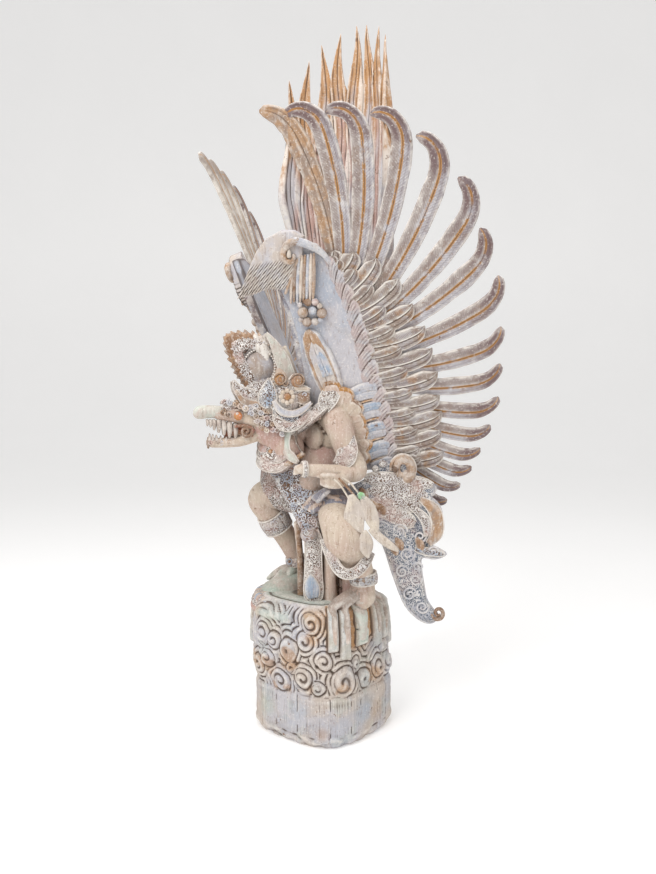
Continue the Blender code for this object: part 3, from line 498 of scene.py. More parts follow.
class Carving:
    """A heap of closed shapes, each with its coat of paint, that becomes one carved piece."""

    def __init__(self):
        self.points, self.faces, self.coats, self.across, self.along = [], [], [], [], []
        self.count = 0

    def add(self, points, faces, coat, across=None, along=None):
        points = np.asarray(points, dtype=float).reshape(-1, 3)
        self.points.append(points)
        self.faces += [tuple(i + self.count for i in face) for face in faces]
        self.coats += [COATS.index(coat)] * len(faces)
        flat = np.zeros(len(points))
        self.across.append(flat if across is None else np.ravel(across))
        self.along.append(flat if along is None else np.ravel(along))
        self.count += len(points)

    def limb(self, stations, coat="tan", steps=4, sides=10, flat=1.0, facing=None):
        """A tapered limb with rounded ends, through stations of x, y, z and radius."""
        path = smooth_path(stations, steps)
        centre, radius = path[:, :3], np.maximum(path[:, 3], 0.0004)
        run = unit(np.gradient(centre, axis=0))
        share = np.array([0.98, 0.8, 0.45])
        ends = []
        for k, way in ((0, -1), (-1, 1)):
            depth = radius[k] * min(flat, 1.0)
            cap = centre[k] + way * run[k] * (share * depth)[:, None]
            ends.append((cap, radius[k] * np.sqrt(1 - share ** 2)))
        centre = np.vstack([ends[0][0], centre, ends[1][0][::-1]])
        radius = np.concatenate([ends[0][1], radius, ends[1][1][::-1]])
        run = np.vstack([run[:1]] * 3 + [run] + [run[-1:]] * 3)
        if facing is None:
            facing = np.eye(3)[np.argmin(np.abs(run).max(axis=0))]
        side = unit(np.cross(run, np.broadcast_to(facing, run.shape)))
        up = np.cross(run, side)
        turn = np.linspace(0, 2 * math.pi, sides, endpoint=False)
        ring = (np.cos(turn)[None, :, None] * side[:, None, :] + flat * np.sin(turn)[None, :, None] * up[:,
                None, :])
        points = centre[:, None, :] + radius[:, None, None] * ring
        along = np.repeat(np.linspace(0, 1, len(centre)), sides)
        self.add(points, stack_faces(len(centre), sides), coat, along=along)

    def ball(self, centre, radii, coat="tan", turn=None, around=22, up=12):
        tilt = np.linspace(-math.pi / 2, math.pi / 2, up + 2)[1:-1]
        turns = np.linspace(0, 2 * math.pi, around, endpoint=False)
        points = np.stack([np.cos(tilt)[:, None] * np.cos(turns), np.cos(tilt)[:, None] * np.sin(turns),
                np.sin(tilt)[:, None] * np.ones(around)], -1) * np.array(radii)
        if turn is not None:
            points = points @ np.array(turn)[:3, :3].T
        self.add(points + np.array(centre), stack_faces(up, around), coat)

    def plate(self, outline, thickness, place, coat):
        """A flat outline in x and y, given thickness and then placed."""
        flat = np.array(outline, dtype=float)
        count = len(flat)
        low = np.column_stack([flat, np.full(count, -thickness / 2)])
        high = np.column_stack([flat, np.full(count, thickness / 2)])
        self.add(placed(place, np.vstack([low, high])), stack_faces(2, count), coat)

    def sheet(self, front, back, coat, across=None, along=None):
        rows, cols = front.shape[:2]
        if across is not None:
            across = np.concatenate([np.ravel(across)] * 2)
            along = np.concatenate([np.ravel(along)] * 2)
        points = np.vstack([front.reshape(-1, 3), back.reshape(-1, 3)])
        self.add(points, sheet_faces(rows, cols), coat, across, along)

    def finish(self, name, node="garuda_figure", slot="figure_wood", fuse=None, soften=1, shape=None, rounds=5,
            depth=0.0012):
        """Makes the piece. With fuse, the heap becomes one skin, and shape then moves its points."""
        data = bpy.data.meshes.new(name)
        data.from_pydata(np.vstack(self.points).tolist(), [], self.faces)
        data.update()
        worn = sorted(set(self.coats))
        order = np.array([worn.index(coat) for coat in self.coats], dtype=np.int32)
        if fuse:
            data = self.fused(name, data, order, fuse, soften)
        else:
            data.polygons.foreach_set("material_index", order)
            skin = bmesh.new()
            skin.from_mesh(data)
            bmesh.ops.recalc_face_normals(skin, faces=skin.faces)
            skin.to_mesh(data)
            skin.free()
            store(data, "across", np.concatenate(self.across))
            store(data, "along", np.concatenate(self.along))
        if shape is not None:
            points = np.empty(len(data.vertices) * 3)
            data.vertices.foreach_get("co", points)
            data.vertices.foreach_set("co", shape(points.reshape(-1, 3)).ravel())
            data.update()
        for coat in worn:
            data.materials.append(bpy.data.materials[COATS[coat]])
        data.shade_smooth()
        mark_relief(data, rounds, depth)
        piece = bpy.data.objects.new(name, data)
        bpy.context.scene.collection.objects.link(piece)
        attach(piece, "root")
        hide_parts(node)
        return piece

    def fused(self, name, data, order, fuse, soften):
        """One skin over the heap; each face keeps the coat of the shape that it came from."""
        draft = bpy.data.objects.new("draft", data)
        bpy.context.scene.collection.objects.link(draft)
        skin = draft.modifiers.new("skin", "REMESH")
        skin.mode = "VOXEL"
        skin.voxel_size = fuse
        smooth = draft.modifiers.new("soften", "SMOOTH")
        smooth.factor = 0.5
        smooth.iterations = soften
        graph = bpy.context.evaluated_depsgraph_get()
        whole = bpy.data.meshes.new_from_object(draft.evaluated_get(graph))
        whole.name = name
        tree = kdtree.KDTree(len(data.polygons))
        for face in data.polygons:
            tree.insert(face.center, face.index)
        tree.balance()
        if len(set(order.tolist())) > 1:
            for face in whole.polygons:
                face.material_index = int(order[tree.find(face.center)[1]])
        bpy.data.objects.remove(draft, do_unlink=True)
        return whole


def raised_limb(carving, place, stations, coat, steps=5, **options):
    """A limb through stations on a wing or a sash; place moves them to the statue."""
    rows = smooth_path(stations, steps)
    rows[:, :3] = place(rows[:, :3])
    carving.limb(rows, coat, steps=1, **options)


def station(x, y, z, *radius):
    """A station of the figure, measured from the middle of the base's top."""
    return (x, y, bpy.context.scene.garuda_base.height + z - STATION_BASE_TOP, *radius)


def ripple(points, scale, amount):
    """Small uneven steps of hand carving, the same on each run."""
    return amount * np.array([noise.noise(Vector(p)) for p in (np.asarray(points) * scale).tolist()])


# Rock base

def base_half_width(sizes, height):
    """Half width of the rounded square at each height, from the underside up."""
    half = sizes.width / 2
    top_of_band = sizes.lip_height + sizes.band_height
    rise = sizes.height - top_of_band
    levels = [(0.0, -0.014), (0.01, -0.006), (sizes.lip_height - 0.005, -0.001),
            (sizes.lip_height + 0.002, -0.002), (top_of_band - 0.01, -0.002), (top_of_band, -0.006),
            (top_of_band + 0.1 * rise, -0.002), (top_of_band + 0.35 * rise, -0.002),
            (top_of_band + 0.7 * rise, -0.004), (top_of_band + 0.92 * rise, -0.012), (sizes.height, -0.03)]
    heights, steps = zip(*levels)
    return half + np.interp(height, heights, steps)


def base_outline(half_width, turn):
    """The rounded square at one level, at each turn."""
    power = 3.2
    c, s = np.cos(turn), np.sin(turn)
    reach = half_width / (np.abs(c) ** power + np.abs(s) ** power) ** (1 / power)
    return reach * c, reach * s


def base_turns(sizes, count):
    """Turns spaced evenly round the log, from the corner that he faces with his left knee."""
    fine = -math.pi / 4 + np.linspace(0, 2 * math.pi, 1441)
    x, y = base_outline(sizes.width / 2, fine)
    run = np.concatenate([[0], np.cumsum(np.hypot(np.diff(x), np.diff(y)))])
    along = np.linspace(0, run[-1], count, endpoint=False)
    return np.interp(along, run, fine), along, run[-1]


# Each scroll: place along the base from its near corner, height, radius, turns and hand
SCROLLS = ((0.04, 0.167, 0.031, 1.3, -1), (-0.07, 0.173, 0.021, 1.2, 1), (-0.147, 0.153, 0.027, 1.5, 1),
        (-0.205, 0.262, 0.026, 1.4, 1), (-0.165, 0.255, 0.018, 1.2, -1), (-0.112, 0.24, 0.023, 0.5, 1),
        (-0.042, 0.316, 0.022, 1.4, -1), (0.18, 0.176, 0.022, 1.4, 1), (-0.232, 0.18, 0.021, 1.3, -1),
        (-0.01, 0.222, 0.017, 1.2, 1), (0.235, 0.172, 0.022, 1.4, -1), (-0.105, 0.196, 0.013, 1.0, -1),
        (-0.03, 0.15, 0.012, 0.8, 1), (0.118, 0.16, 0.021, 0.5, 1), (0.085, 0.205, 0.012, 1.0, 1),
        (-0.19, 0.205, 0.016, 1.1, 1), (-0.06, 0.268, 0.02, 0.9, 1), (0.205, 0.222, 0.014, 1.0, -1),)
# Bare patches and pits: place, height, radius, and how much of ochre, blue and mint each holds
PATCHES = ((-0.036, 0.278, 0.02, 1.0, 0.0, 0.0), (-0.165, 0.138, 0.012, 0.9, 0.0, 0.0),
        (-0.122, 0.14, 0.012, 0.8, 0.0, 0.0), (-0.235, 0.318, 0.022, 0.6, 0.0, 0.0),
        (-0.112, 0.24, 0.026, 0.0, 0.9, 0.0), (0.118, 0.16, 0.03, 0.0, 0.7, 0.5),
        (0.105, 0.085, 0.04, 0.0, 0.8, 0.2), (-0.09, 0.09, 0.03, 0.0, 0.6, 0.1),
        (-0.2, 0.08, 0.03, 0.0, 0.0, 0.8), (-0.18, 0.318, 0.04, 0.0, 0.0, 0.6),
        (0.16, 0.06, 0.03, 0.4, 0.0, 0.2), (0.23, 0.09, 0.03, 0.0, 0.5, 0.0),
        (-0.02, 0.04, 0.016, 0.5, 0.0, 0.0), (0.19, 0.15, 0.026, 0.45, 0.0, 0.0),
        (-0.24, 0.19, 0.02, 0.5, 0.0, 0.3), (-0.05, 0.15, 0.012, 0.6, 0.0, 0.0),)
PITS = ((-0.205, 0.24, 0.006), (-0.15, 0.205, 0.006), (-0.088, 0.208, 0.008), (-0.028, 0.206, 0.006),
        (-0.215, 0.222, 0.007), (-0.17, 0.192, 0.008), (0.01, 0.195, 0.005), (0.148, 0.19, 0.006),
        (-0.085, 0.15, 0.005), (0.085, 0.178, 0.006), (0.212, 0.196, 0.006), (-0.235, 0.215, 0.007))
# Toes over the edge: middle and half width of each bar along the base
TOES = ((0.018, 0.014), (0.052, 0.016), (0.114, 0.022), (0.178, 0.014), (0.216, 0.013), (0.252, 0.012))


def wrapped(along, place, round_):
    """Distance along the log from a place, which both the front half and the back half carry."""
    return (along - place + round_ / 4) % (round_ / 2) - round_ / 4


def base_relief(sizes, along, height, round_):
    """How far the carving stands out from the log, and the shares of ochre, blue and mint on it."""
    lip, top = sizes.lip_height, sizes.height
    band = lip + sizes.band_height
    turn = 2 * math.pi * along / round_
    spots = np.stack([np.cos(2 * turn) * 0.12, np.sin(2 * turn) * 0.12, height], -1).reshape(-1, 3)
    drift, swirl = (ripple(spots, (scale, scale, 1.2 * scale), 1.0).reshape(along.shape)
            for scale in (11.0, 19.0))
    ragged = band + 0.01 * drift
    carved = window(height, ragged, ragged + 0.012) * (1 - window(height, top - 0.02, top))
    nearest, arcs = np.full(along.shape, 9.0), np.zeros(along.shape)
    for place, level, radius, turns, hand in SCROLLS:
        reach = np.hypot(wrapped(along, place, round_) + 0.01 * swirl, height - level + 0.01 * drift)
        closer = reach / radius < nearest
        arcs = np.where(closer, 0.5 + 0.5 * np.cos(2 * math.pi * (reach - radius) / 0.0135), arcs)
        nearest = np.minimum(nearest, reach / radius)
    out = sizes.scroll_depth * carved * (0.8 * np.sqrt(arcs) - 0.7
            - 0.5 * window(nearest, 1.7, 2.6) * (1 - arcs))
    tint = np.zeros((3, *along.shape))
    tint[0] = 0.55 * carved * window(drift, 0.22, 0.4)
    tint[1] = 0.2 * window(-drift, 0.15, 0.4)
    tint[2] = 0.25 * window(swirl, 0.2, 0.42)
    for place, level, radius, turns, hand in SCROLLS:
        radius *= 1.25
        x, y = wrapped(along, place, round_) + 0.004 * swirl, height - level + 0.005 * drift
        reach, turn = np.hypot(x, y), np.arctan2(y, x)
        inside = 1 - window(reach, 0.7 * radius, 1.2 * radius)
        wave = 0.5 + 0.5 * np.cos(2 * math.pi * (turns * reach / radius) - hand * turn)
        rise = inside * (0.3 + 0.25 * (1 - (reach / radius) ** 2).clip(0) + 0.75 * wave)
        out = np.maximum(out * (1 - 0.7 * inside), sizes.scroll_depth * (1.15 * rise - 0.6) * (inside > 0.01)
                + out * (inside <= 0.01))
    x = wrapped(along, -0.175, round_)
    roll = np.exp(-((height - 0.318) / 0.015) ** 2) * (1 - window(np.abs(x), 0.055, 0.075))
    out = out * (1 - roll) + 0.01 * roll
    tint[2] = np.maximum(tint[2], 0.8 * roll)
    claws = (window(height, 0.222, 0.236) * window(wrapped(along, 0.13, round_), -0.135, -0.128) * (1
            - window(wrapped(along, 0.13, round_), 0.132, 0.138)))
    claws = claws * window(height + 0.02 * drift, 0.222, 0.262)
    out = out * (1 - claws) - 0.004 * claws
    tint[0] = np.maximum(tint[0], 0.85 * claws)
    for place, half in TOES:
        x = np.abs(wrapped(along, place, round_)) / half
        low = 0.222 + 0.016 * math.sin(70 * place)
        bar = (1 - window(x, 0.8, 1.25)) * window(height, low, low + 0.016)
        bar = bar * (1 - window(height, top - 0.004, top))
        out = np.maximum(out, 0.01 * bar * np.sqrt((1 - (0.7 * x) ** 2).clip(0)) - 0.01 * (1 - bar))
        tint[0] = tint[0] * (1 - bar)
        tint[2] = np.maximum(tint[2], bar * (0.8 if half > 0.02 else 0.35))
    crack = claws * np.exp(-((height - 0.29) / 0.003) ** 2) * (np.abs(wrapped(along, 0.114, round_)) < 0.021)
    out = out - 0.008 * crack
    for place, level, radius in PITS:
        x, y = wrapped(along, place, round_), height - level
        pit = np.exp(-(x * x + y * y) / radius ** 2)
        out = out - 0.01 * pit
    planks = (1 - window(height, band - 0.008, band)) * window(height, lip, lip + 0.008)
    share = along / round_ * sizes.planks
    nearest = np.round(share)
    uneven = 0.22 * np.sin(nearest * 2.4) + 0.006 * np.sin(height * 190 + nearest * 3)
    crack = np.exp(-((share - nearest - uneven) / 0.026) ** 2) * window(swirl + 0.3 * np.sin(nearest * 5), -0.1,
            0.25)
    tool = np.abs(np.sin(share * 23 + 2.5 * np.sin(share * 3))) ** 0.5
    out = out - planks * (0.005 * crack + 0.0022 * (1 - tool) * (0.6 + swirl))
    for place, level, radius, *shares in PATCHES:
        x, y = wrapped(along, place, round_), height - level
        spot = np.exp(-((x * x + y * y) / radius ** 2) ** 2)
        for k in range(3):
            tint[k] = np.maximum(tint[k], (0.7, 0.45, 0.6)[k] * shares[k] * spot)
    return out, tint


def carve_base(sizes):
    """The log: worn lip, band of planks, cloud scrolls and the toes that grip its edge."""
    around, up = 390, 112
    turns, along, round_ = base_turns(sizes, around)
    heights = np.linspace(0, sizes.height, up)
    along_grid, height_grid = np.meshgrid(along, heights)
    out, tint = base_relief(sizes, along_grid, height_grid, round_)
    lip = 1 - window(height_grid, sizes.lip_height - 0.004, sizes.lip_height + 0.004)
    chips = ripple(np.column_stack([along_grid.ravel(), height_grid.ravel(), 0 * out.ravel()]), (34, 60, 1),
            0.007).reshape(out.shape)
    out = out + lip * np.minimum(chips, 0.001) + 0.25 * chips
    half = base_half_width(sizes, heights)[:, None] + out
    x, y = base_outline(half, turns[None, :])
    rings = [np.stack([x, y, height_grid], -1)]
    for share in (0.97, 0.9, 0.8, 0.65, 0.45, 0.2):
        flat = rings[0][-1] * (share, share, 1.0)
        rings.append(flat[None] + (0, 0, 0.0015 * math.sin(share * 40)))
    points = placed(Matrix.Rotation(sizes.turn, 4, "Z"), np.concatenate(rings).reshape(-1, 3))
    carving = Carving()
    carving.add(points, stack_faces(len(points) // around, around), "stone")
    points += np.array(LEVEL) * (0.01 * (1 - window(points[:, 2], 0.09, 0.26)))[:, None]
    piece = carving.finish("garuda_base", rounds=8, depth=0.0016)
    extra = np.zeros(len(points) - tint[0].size)
    for name, share in zip(("ochred", "blued", "minted"), tint):
        store(piece.data, name, np.concatenate([share.ravel(), extra + (0.7 if name == "minted" else 0.0)]))


def heap_rocks(sizes):
    """The mint dome under his right foot, the beaded cloud edge below it, and a row of coloured beads along
    that edge.
    """
    carving = Carving()
    front = Matrix.Rotation(sizes.turn, 4, "Z")
    for k in range(5):
        carving.ball(station(-0.108 + 0.004 * k, -0.062 + 0.003 * k, 0.322 + 0.009 * k),
                (0.066 - 0.007 * k, 0.084 - 0.009 * k, 0.016), "mint", turn=front)
    edge = [(-0.146, 0.02, 0.33), (-0.154, -0.056, 0.328), (-0.132, -0.12, 0.325), (-0.078, -0.15, 0.321),
            (-0.016, -0.142, 0.32), (0.036, -0.122, 0.32)]
    for k, (stout, out, drop, coat) in enumerate(((0.012, 0.97, 0.0, "beaded"), (0.01, 1.02, 0.012, "beaded"),
            (0.01, 1.035, 0.026, "rose"))):
        carving.limb([station(out * x, out * y, z - drop, stout) for x, y, z in edge], coat, steps=6)
    for k in range(16):
        carving.ball(station(-0.142 + 0.0115 * k, -0.07 - 0.078 * math.sin(0.42 + 0.15 * k), 0.326
                - 0.0006 * k), (0.012, 0.012, 0.01), ("beaded", "tan", "blue", "rose")[k % 4], around=16, up=10)
    carving.finish("rocks_under_right_foot", fuse=0.0031)


def toe(carving, sizes, place, half):
    """One toe: from the ankle over the base's edge, down to where the carved bar takes over."""
    turns, along, round_ = base_turns(sizes, 720)
    turn = np.interp(place % round_, along, turns)
    turned = Matrix.Rotation(sizes.turn, 4, "Z")

    def at(height, out):
        x, y = base_outline(float(base_half_width(sizes, height)) + out, turn)
        return turned @ Vector((float(x), float(y), height))

    heel = Vector(station(0.142, 0.03, 0.362))
    edge = at(sizes.height - 0.004, 0.006)
    rise = heel.lerp(edge, 0.55) + Vector((0, 0, 0.006))
    path = [(*heel, 0.026), (*rise, half + 0.008), (*edge, 1.2 * half), (*at(sizes.height - 0.04, 0.006), half),
            (*at(sizes.height - 0.085, 0.002), 0.9 * half)]
    # Narrow toes take the darker taupe skin coat, which is painted shade.
    carving.limb(path, "pale_mint" if half > 0.02 else "shaded_skin", steps=6, flat=0.55,
            facing=tuple((edge - heel).normalized() + Vector((0, 0, 0.8))))


# Legs, torso and arms

TOWARD = Vector((0.866, -0.5, 0.0))
LEVEL = Vector((0.5, 0.866, 0.0))


def petal(carving, stations, coat, out, rim="bone", dome=0.004, thick=0.006, stout=0.0017):
    """A leaf-shaped plate along stations of x, y, z and half width, facing out, with a beaded rim."""
    path = smooth_path(stations, 4)
    centre, half = path[:, :3], np.maximum(path[:, 3:], 0.0006)
    run = unit(np.gradient(centre, axis=0))
    out = np.broadcast_to(unit(np.array(out, dtype=float)), run.shape)
    side = unit(np.cross(run, out))
    across = np.linspace(-1, 1, 9)
    front = (centre[:, None, :] + half[:, None, :] * across[None, :, None] * side[:, None, :]
            + (dome * (1 - across ** 2))[None, :, None] * out[:, None, :])
    carving.sheet(front, front - thick * out[:, None, :], coat)
    for col in (0, -1) if rim else ():
        carving.limb(np.column_stack([front[:, col], np.full(len(path), stout)]), rim, steps=1, sides=7)
    return front


def carve_legs(sizes):
    """The bent near leg, the stepping far leg, and the toes that spread from each ankle."""
    carving = Carving()
    for path in (((0.05, 0.02, 0.572, 0.05), (0.108, -0.014, 0.56, 0.048), (0.15, -0.036, 0.545, 0.045),
            (0.164, -0.024, 0.505, 0.051), (0.159, 0.002, 0.462, 0.042), (0.15, 0.032, 0.424, 0.031),
            (0.143, 0.046, 0.396, 0.027), (0.144, 0.04, 0.352, 0.036)), ((-0.05, 0.005, 0.59, 0.052),
            (-0.088, -0.07, 0.596, 0.047), (-0.11, -0.118, 0.584, 0.04), (-0.112, -0.094, 0.54, 0.036),
            (-0.11, -0.052, 0.48, 0.031), (-0.106, -0.026, 0.425, 0.024), (-0.103, -0.012, 0.39, 0.02),
            (-0.106, -0.016, 0.345, 0.028))):
        carving.limb([station(*s) for s in path], steps=8, sides=24)
    base = bpy.context.scene.garuda_base
    for place, half in TOES[:5]:
        toe(carving, base, place, half)
    for spread in (-0.9, -0.3, 0.3, 0.9):
        tip = (-0.11 + 0.056 * math.sin(spread), -0.016 - 0.082 * math.cos(spread), 0.356)
        middle = [(a + b) / 2 for a, b in zip((-0.11, -0.018, 0.392), tip)]
        carving.limb([station(-0.11, -0.018, 0.366, 0.02), station(*middle, 0.014), station(*tip, 0.006)],
                "mint", steps=6)
    carving.finish("legs_and_feet", fuse=sizes.grain, soften=2)


def carve_torso(sizes):
    """Belly, rounded chest, shoulders and neck, both arms, and the hand that holds the sprig."""
    carving = Carving()
    # The two lowest balls, the belly, take the darker taupe skin coat: painted shade under the chest.
    for centre, radii, coat in (((0.0, 0.005, 0.59), (0.078, 0.066, 0.052), "shaded_skin"),
            ((0.01, -0.024, 0.638), (0.064, 0.064, 0.05), "shaded_skin"), ((0.0, -0.004, 0.7),
            (0.076, 0.058, 0.06), "rose"), ((0.0, 0.004, 0.76), (0.084, 0.056, 0.062), "tan"),
            ((0.034, -0.04, 0.756), (0.038, 0.02, 0.034), "tan"), ((-0.034, -0.044, 0.756),
            (0.036, 0.022, 0.032), "pale_mint")):
        carving.ball(station(*centre), radii, coat, around=40, up=24)
    for side in (1, -1):
        carving.limb([station(0.03 * side, 0.03, 0.74, 0.05), station(side * (0.083 if side > 0 else 0.114),
                0.066, 0.75, 0.038)])
    for path, coat in ((((-0.096, 0.002, 0.794, 0.04), (0.0, 0.01, 0.802, 0.044), (0.096, 0.002, 0.794, 0.04)),
            "tan"), (((0.0, -0.02, 0.788, 0.042), (-0.002, -0.076, 0.766, 0.034), (-0.01, -0.124, 0.764, 0.03),
            (-0.018, -0.166, 0.786, 0.03)), "rose"), (((0.098, -0.01, 0.806, 0.038),
            (0.116, -0.006, 0.77, 0.035), (0.124, 0.004, 0.725, 0.029), (0.142, 0.022, 0.686, 0.027),
            (0.148, 0.018, 0.668, 0.024), (0.142, -0.014, 0.667, 0.022), (0.128, -0.056, 0.672, 0.019),
            (0.112, -0.092, 0.677, 0.016), (0.104, -0.116, 0.68, 0.013)), "tan"),
            (((-0.108, -0.004, 0.792, 0.038), (-0.138, -0.006, 0.735, 0.033), (-0.138, -0.024, 0.69, 0.029),
            (-0.098, -0.062, 0.676, 0.024), (-0.054, -0.092, 0.682, 0.018), (-0.034, -0.1, 0.688, 0.02)),
            "tan")):
        carving.limb([station(*s) for s in path], coat, steps=8, sides=24)
    carving.ball(station(0.16, -0.036, 0.65), (0.018, 0.024, 0.016), around=24, up=14)
    carving.limb([station(0.15, -0.01, 0.664, 0.02), station(0.16, -0.034, 0.652, 0.018)], steps=5)
    for k in range(4):
        lift = 0.0085 * (1.5 - k)
        carving.limb([station(0.164, -0.04, 0.65 + lift, 0.0068),
                station(0.158, -0.066, 0.65 + 0.9 * lift, 0.0062),
                station(0.142, -0.078, 0.652 + 0.7 * lift, 0.005)], steps=5)
    carving.limb([station(0.168, -0.048, 0.664, 0.0065), station(0.158, -0.078, 0.668, 0.006),
            station(0.148, -0.092, 0.664, 0.0045)], steps=5)
    for k in range(4):
        carving.limb([station(-0.034, -0.1, 0.672 + 0.013 * k, 0.008),
                station(-0.004, -0.112, 0.671 + 0.013 * k, 0.006)], steps=5)
        carving.limb([station(0.106 - 0.002 * k, -0.112 - 0.003 * k, 0.686 - 0.005 * k, 0.0055),
                station(0.098 - 0.002 * k, -0.128, 0.684 - 0.006 * k, 0.0045)], steps=4)
    carving.finish("torso_and_arms", fuse=sizes.grain, soften=2)


def ring_band(carving, centre, radius, tilt, height=0.018, thick=0.006, coat="chased", rim=True):
    """A carved band round a limb: a closed ring with a bulged outer side and a bead above and below."""
    turns = np.linspace(0, 2 * math.pi, 49)
    rise = np.linspace(-0.5, 0.5, 7)
    outer = radius + thick * (0.35 + 0.65 * np.cos(math.pi * rise) ** 0.5)
    grids = []
    for reach in (outer, np.full(7, radius - thick)):
        local = np.stack([np.cos(turns)[:, None] * reach, np.sin(turns)[:, None] * reach,
                np.broadcast_to(height * rise, (49, 7))], -1)
        grids.append(placed(Matrix.Translation(centre) @ tilt, local.reshape(-1, 3)).reshape(49, 7, 3))
    carving.sheet(grids[0], grids[1], coat)
    for col in (0, -1) if rim else ():
        bead = grids[0][::2, col]
        carving.limb(np.column_stack([bead, np.full(len(bead), 0.0026)]), "bone", steps=1, sides=8)


def leaning(toward):
    """A turn that takes +Z to a given direction."""
    return Vector(toward).to_track_quat("Z", "Y").to_matrix().to_4x4()


def rosette(carving, centre, out, radius, petals=8, coat="lavender", heart="brown"):
    """A small flower of round petals about a heart, facing out."""
    turn = leaning(out)
    for k in range(petals):
        a = 2 * math.pi * k / petals
        place = Vector(centre) + turn.to_3x3() @ Vector((0.68 * radius * math.cos(a),
                0.68 * radius * math.sin(a), 0))
        carving.ball(place, (0.3 * radius, 0.3 * radius, 0.26 * radius), coat, turn=turn, around=12, up=8)
    carving.ball(Vector(centre), (0.42 * radius, 0.42 * radius, 0.4 * radius), heart, turn=turn, around=14,
            up=8)


def carve_bands():
    """Anklets, garters, armlets, the wrist ring, the collar, and the leaves on the shoulders."""
    carving = Carving()
    for place, radius, lean, height in (((0.142, 0.046, 0.396), 0.031, (0.02, -0.1, 1), 0.026),
            ((-0.104, -0.018, 0.402), 0.024, (0, -0.2, 1), 0.022), ((-0.111, -0.08, 0.518), 0.037,
            (0.05, -0.65, 1), 0.05), ((-0.138, -0.002, 0.735), 0.036, (0.2, 0, 1), 0.034),
            ((0.106, -0.106, 0.679), 0.016, (-0.3, -1, 0), 0.01)):
        ring_band(carving, station(*place), radius, leaning(lean), height)
    garter = []
    for t in np.linspace(-1, 1, 11):
        spot = Vector((0.16, -0.014, 0.0)) + LEVEL * (0.056 * t) + TOWARD * (0.047 * math.sqrt(1.0001 - t * t))
        garter.append(station(spot.x, spot.y, 0.426 + (0.08 if t < 0 else 0.046) * abs(t) ** 2.2, 0.0125))
    petal(carving, garter, "beaded", TOWARD, dome=0.004, thick=0.014)
    rosette(carving, station(0.17, 0.028, 0.396), (0.8, -0.6, 0.1), 0.013)
    rosette(carving, station(-0.09, -0.046, 0.404), (0.8, -0.6, 0.1), 0.01)
    for side in (1, -1):
        out = (0.8 * side, -0.6, 0.1)
        for path, coat, way in ((((0.128, -0.034, 0.692, 0.004), (0.148, -0.018, 0.704, 0.025),
                (0.154, -0.002, 0.728, 0.019), (0.146, 0.012, 0.76, 0.002)), "beaded", out),
                (((0.106, -0.052, 0.826, 0.014), (0.112, -0.042, 0.852, 0.023), (0.12, -0.026, 0.88, 0.018),
                (0.126, -0.012, 0.906, 0.003)), "beaded", out), (((0.11, -0.05, 0.842, 0.014),
                (0.086, -0.076, 0.812, 0.015), (0.056, -0.1, 0.784, 0.014), (0.034, -0.124, 0.764, 0.008)),
                "beaded", (0.5 * side, -0.9, 0.5))):
            petal(carving, [station(side * x, y, z, half) for x, y, z, half in path], coat, way, dome=0.006,
                    thick=0.014)
        for k in range(5):
            place = station(side * (0.094 - 0.018 * k), -0.056 - 0.014 * k, 0.806 - 0.012 * k)
            carving.ball(place, (0.0055, 0.0055, 0.0055), ("ochre", "salmon")[k % 2], around=12, up=8)
    for lift, reach, coat in ((0.004, 0.0, "beaded"), (-0.018, 0.01, "salmon"), (-0.036, 0.016, "beaded"),
            (-0.058, 0.02, "beaded")):
        rows = [(x + 0.6 * reach, y - 0.6 * reach, z + lift) for x, y, z in ((-0.07, -0.08, 0.79),
                (-0.04, -0.146, 0.762), (-0.004, -0.16, 0.746), (0.024, -0.136, 0.74), (0.038, -0.104, 0.762))]
        petal(carving, [station(*row, 0.015) for row in rows], coat, (0.6, -1, 0.3), dome=0.005, thick=0.02)
    rosette(carving, station(0.022, -0.158, 0.72), (0.8, -0.7, 0.2), 0.014, 7, "beaded", "amber")
    for k in range(9):
        place = station(-0.044 + 0.011 * k, -0.158 - 0.01 * math.sin(0.35 * k) + 0.005 * k, 0.766 - 0.003 * k)
        carving.ball(place, (0.0055, 0.0055, 0.0055), ("ochre", "salmon", "bone")[k % 3], around=12, up=8)
    petal(carving, [station(-0.05, -0.12, 0.735, 0.01), station(-0.08, -0.116, 0.7, 0.026),
            station(-0.098, -0.108, 0.65, 0.03), station(-0.104, -0.118, 0.606, 0.018)], "beaded",
            (0.2, -1, 0.2), dome=0.01, thick=0.02)
    carving.finish("bands_and_collar", rounds=4)


